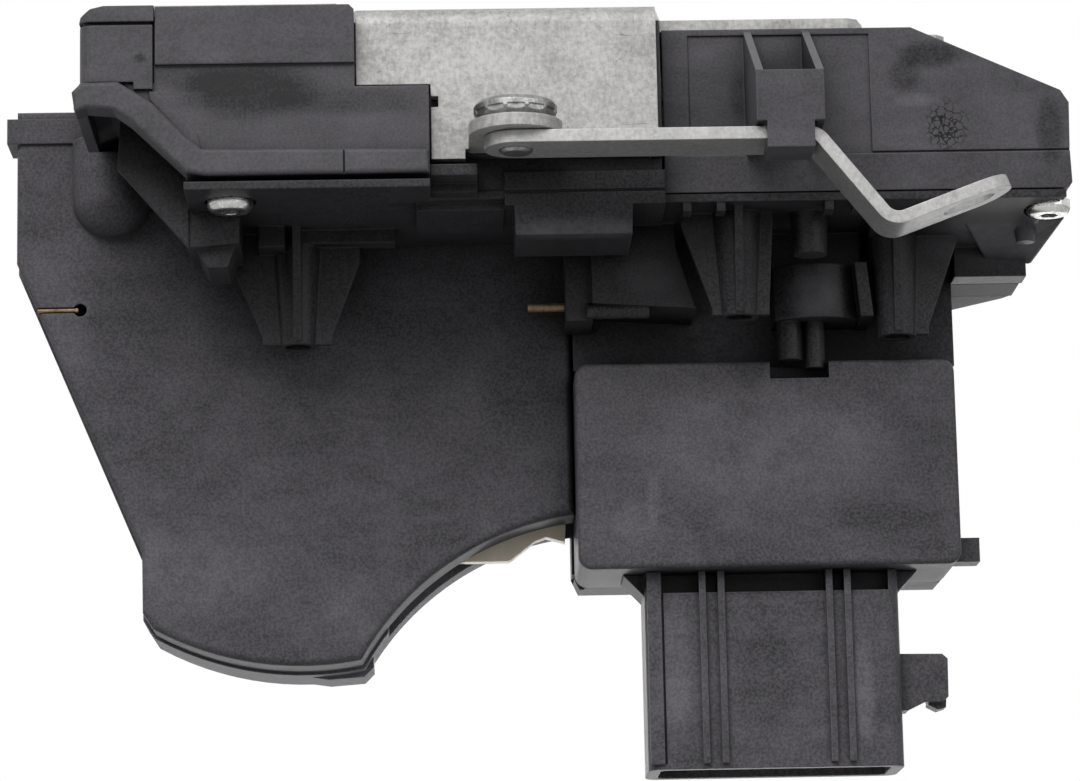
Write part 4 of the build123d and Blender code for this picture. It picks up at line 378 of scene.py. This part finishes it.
finishes = {
    "galvanised_plate": sheet_metal(
        "galvanised_plate", (0.275, 0.272, 0.264), (0.46, 0.455, 0.442), 0.5, 0.3, patches=PLATE_FOLD_SHADE
    ),
    "lever_steel": sheet_metal(
        "lever_steel", (0.31, 0.305, 0.305), (0.46, 0.455, 0.45), 0.42, 0.5, speck=0.45
    ),
    "bright_steel": turned_metal("bright_steel", (0.40, 0.40, 0.39), (0.66, 0.66, 0.65), 0.24),
    "claw_steel": turned_metal("claw_steel", (0.22, 0.22, 0.23), (0.36, 0.36, 0.37), 0.4),
    "spring_steel": turned_metal("spring_steel", (0.30, 0.30, 0.31), (0.45, 0.45, 0.46), 0.32),
    "motor_steel": turned_metal("motor_steel", (0.42, 0.42, 0.42), (0.60, 0.60, 0.60), 0.3),
    "worm_brass": turned_metal("worm_brass", (0.50, 0.36, 0.15), (0.70, 0.54, 0.27), 0.28),
    "terminal_tin": turned_metal("terminal_tin", (0.56, 0.50, 0.38), (0.74, 0.70, 0.58), 0.3),
    "tan_wire": turned_metal("tan_wire", (0.13, 0.085, 0.045), (0.26, 0.18, 0.10), 0.45, metallic=0.5),
    "latch_nylon": moulded(
        "latch_nylon", 0.074, 0.42, 0.16,
        grain=0.2, relief_mm=0.012, patches=HOUSING_PATCHES, flow_mark=FLOW_MARK,
    ),
    "cover_nylon": moulded("cover_nylon", 0.030, 0.40, 0.16, grain=0.6, dust=0.2, pale_veils=COVER_LIT_VEILS),
    "actuator_nylon": moulded("actuator_nylon", 0.074, 0.5, 0.10, patches=ACTUATOR_LIGHT_AND_SHADE),
    "connector_nylon": moulded("connector_nylon", 0.080, 0.45, 0.12, patches=BOX_TONE_AND_LIGHT + SHROUD_SHADOW_AND_TONE),
    "cream_acetal": soft_plastic("cream_acetal", (0.72, 0.66, 0.50), (0.86, 0.81, 0.68), 0.34, 0.2),
    "carrier_plastic": soft_plastic("carrier_plastic", (0.06, 0.065, 0.055), (0.11, 0.115, 0.10), 0.5),
    "seal_rubber": soft_plastic("seal_rubber", (0.022, 0.022, 0.024), (0.04, 0.04, 0.042), 0.62),
    "skin_elastomer": soft_plastic("skin_elastomer", (0.024, 0.024, 0.027), (0.045, 0.045, 0.048), 0.55),
}
# nodes that look different from the rest of their material; the actuator base is painted paler, a painted
# light from below
own_finish = {
    "actuator_base": moulded("base_nylon_painted_lit", 0.14, 0.5, 0.10, grain=0.25),
    "lever_rivet": turned_metal("rivet_steel", (0.17, 0.17, 0.17), (0.36, 0.36, 0.355), 0.34, wear_mm=2.4),
}
for part in frame["record"]["subparts"]:
    node = frame["nodes"][part["node"]]
    node.data.materials.clear()
    node.data.materials.append(own_finish.get(part["node"], finishes[part["material_slot"]]).material)

# ---------------------------------------------------------------- pieces on the latch
# the lower cover's sloping flange behind its right screw: front edge, then back edge, left to right
FLANGE_UNDER = ((37.3, 1.5, -32.5), (54.4, 1.5, -32.2), (50.2, 14.0, -37.2), (42.6, 14.0, -36.5))
FLANGE_TOP_Z = -31.0
FLANGE_ROUNDING = 0.5


def solid_between(name, under, top_z, material):
    """A closed block under a flat top, with its lower corners at the given places in millimetres."""
    corners = [Vector(corner) * MM for corner in under]
    corners += [Vector((x, y, top_z)) * MM for x, y, z in under]
    sides = [(i, (i + 1) % 4, (i + 1) % 4 + 4, i + 4) for i in range(4)]
    mesh = bpy.data.meshes.new(name)
    mesh.from_pydata(corners, [], [(3, 2, 1, 0), (4, 5, 6, 7)] + sides)
    mesh.validate()
    piece = bpy.data.objects.new(name, mesh)
    scene.collection.objects.link(piece)
    rounding = piece.modifiers.new("rounding", "BEVEL")
    rounding.width = FLANGE_ROUNDING * MM
    rounding.segments = 2
    mesh.materials.append(material)
    return piece


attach(solid_between("lid_flange", FLANGE_UNDER, FLANGE_TOP_Z, finishes["cover_nylon"].material), "latch")

# ---------------------------------------------------------------- floor, light and camera
FLOOR_Z = -0.235
FLOOR_HALF = 3.0
FLOOR_BOUNCE = 0.34


def floor_paint():
    """A pale floor. What it throws back on the object is kept low, as from a floor far below."""
    s = Shader("floor_paint")
    s.link(s.mix(s.noise(40.0), (0.85, 0.85, 0.845), (0.87, 0.87, 0.865)), s.principled.inputs["Base Color"])
    s.set(Roughness=0.9)
    dim = s.add("BsdfDiffuse", Color=(FLOOR_BOUNCE, FLOOR_BOUNCE, FLOOR_BOUNCE, 1.0))
    choose = s.add("MixShader")
    s.link(seen_directly(s.tree), choose.inputs["Fac"])
    s.link(dim.outputs["BSDF"], choose.inputs[1])
    s.link(s.principled.outputs["BSDF"], choose.inputs[2])
    s.link(choose.outputs["Shader"], s.tree.nodes["Material Output"].inputs["Surface"])
    return s.material


floor_mesh = bpy.data.meshes.new("floor")
corner_signs = ((-1, -1), (1, -1), (1, 1), (-1, 1))
floor_mesh.from_pydata([(FLOOR_HALF * x, FLOOR_HALF * y, 0) for x, y in corner_signs], [], [(0, 1, 2, 3)])
floor = bpy.data.objects.new("floor", floor_mesh)
floor.location = (0, 0, FLOOR_Z)
floor_mesh.materials.append(floor_paint())
scene.collection.objects.link(floor)


def softbox(name, place, aim, width, height, watts):
    """A rectangular area light that points at aim."""
    data = bpy.data.lights.new(name, "AREA")
    data.shape = "RECTANGLE"
    data.size = width
    data.size_y = height
    data.energy = watts
    lamp = bpy.data.objects.new(name, data)
    lamp.location = place
    lamp.rotation_euler = (Vector(aim) - Vector(place)).to_track_quat("-Z", "Y").to_euler()
    scene.collection.objects.link(lamp)


CENTRE = (-0.033, 0.0, -0.06)
softbox("key", (-0.40, -0.85, 0.72), CENTRE, 0.9, 0.7, 12.0)
softbox("fill", (0.75, -0.90, 0.20), CENTRE, 0.8, 0.6, 2.6)
softbox("rear", (0.15, 1.05, 0.25), CENTRE, 0.9, 0.6, 5.5)
softbox("low rear", (-0.03, 0.42, -0.225), (-0.03, 0.0, -0.09), 0.6, 0.12, 0.6)

# the world: dim from below, brighter from above, and plain white where the camera sees it, also by way
# of a mirror or glass
LOW, LOW_LEVEL = -0.3, 0.05     # how high a direction points, and the world's level from there
HIGH, HIGH_LEVEL = 0.6, 0.34
world = bpy.data.worlds.new("studio")
world.use_nodes = True
scene.world = world
tree = world.node_tree
surround = tree.nodes["Background"]
surround.inputs["Strength"].default_value = 1.0
direction = add_node(tree, "SeparateXYZ")
tree.links.new(add_node(tree, "TexCoord").outputs["Generated"], direction.inputs["Vector"])
span = add_node(tree, "MapRange", From_Min=LOW, From_Max=HIGH, To_Min=LOW_LEVEL, To_Max=HIGH_LEVEL)
tree.links.new(direction.outputs["Z"], span.inputs["Value"])
tree.links.new(span.outputs["Result"], surround.inputs["Color"])
plain_white = add_node(tree, "Background", Color=(1, 1, 1, 1), Strength=1.0)
choose = add_node(tree, "MixShader")
tree.links.new(seen_directly(tree), choose.inputs["Fac"])
tree.links.new(surround.outputs["Background"], choose.inputs[1])
tree.links.new(plain_white.outputs["Background"], choose.inputs[2])
tree.links.new(choose.outputs["Shader"], tree.nodes["World Output"].inputs["Surface"])

# the camera stands low in front of the object and looks slightly up at it
IMAGE_W = 1080
FOCAL_PX = 3980.0
SENSOR_MM = 36.0
NEAREST = 0.01
ELEVATION = math.radians(11.4)
YAW = math.radians(1.54)
ROLL = math.radians(1.2)
EYE = Vector((-0.04963, -0.63183, -0.18750))
reach = math.cos(ELEVATION)
forward = Vector((math.sin(YAW) * reach, math.cos(YAW) * reach, math.sin(ELEVATION)))
sideways = forward.cross(Vector((0, 0, 1))).normalized()
upright = sideways.cross(forward)
right = sideways * math.cos(ROLL) - upright * math.sin(ROLL)
up = sideways * math.sin(ROLL) + upright * math.cos(ROLL)

camera_data = bpy.data.cameras.new("camera")
camera_data.sensor_fit = "HORIZONTAL"
camera_data.sensor_width = SENSOR_MM
camera_data.lens = FOCAL_PX / IMAGE_W * SENSOR_MM
camera_data.clip_start = NEAREST
camera = bpy.data.objects.new("camera", camera_data)
turn = Matrix((right, up, -forward)).transposed().to_4x4()
camera.matrix_world = Matrix.Translation(EYE) @ turn
scene.collection.objects.link(camera)
scene.camera = camera
scene.view_settings.view_transform = "Standard"
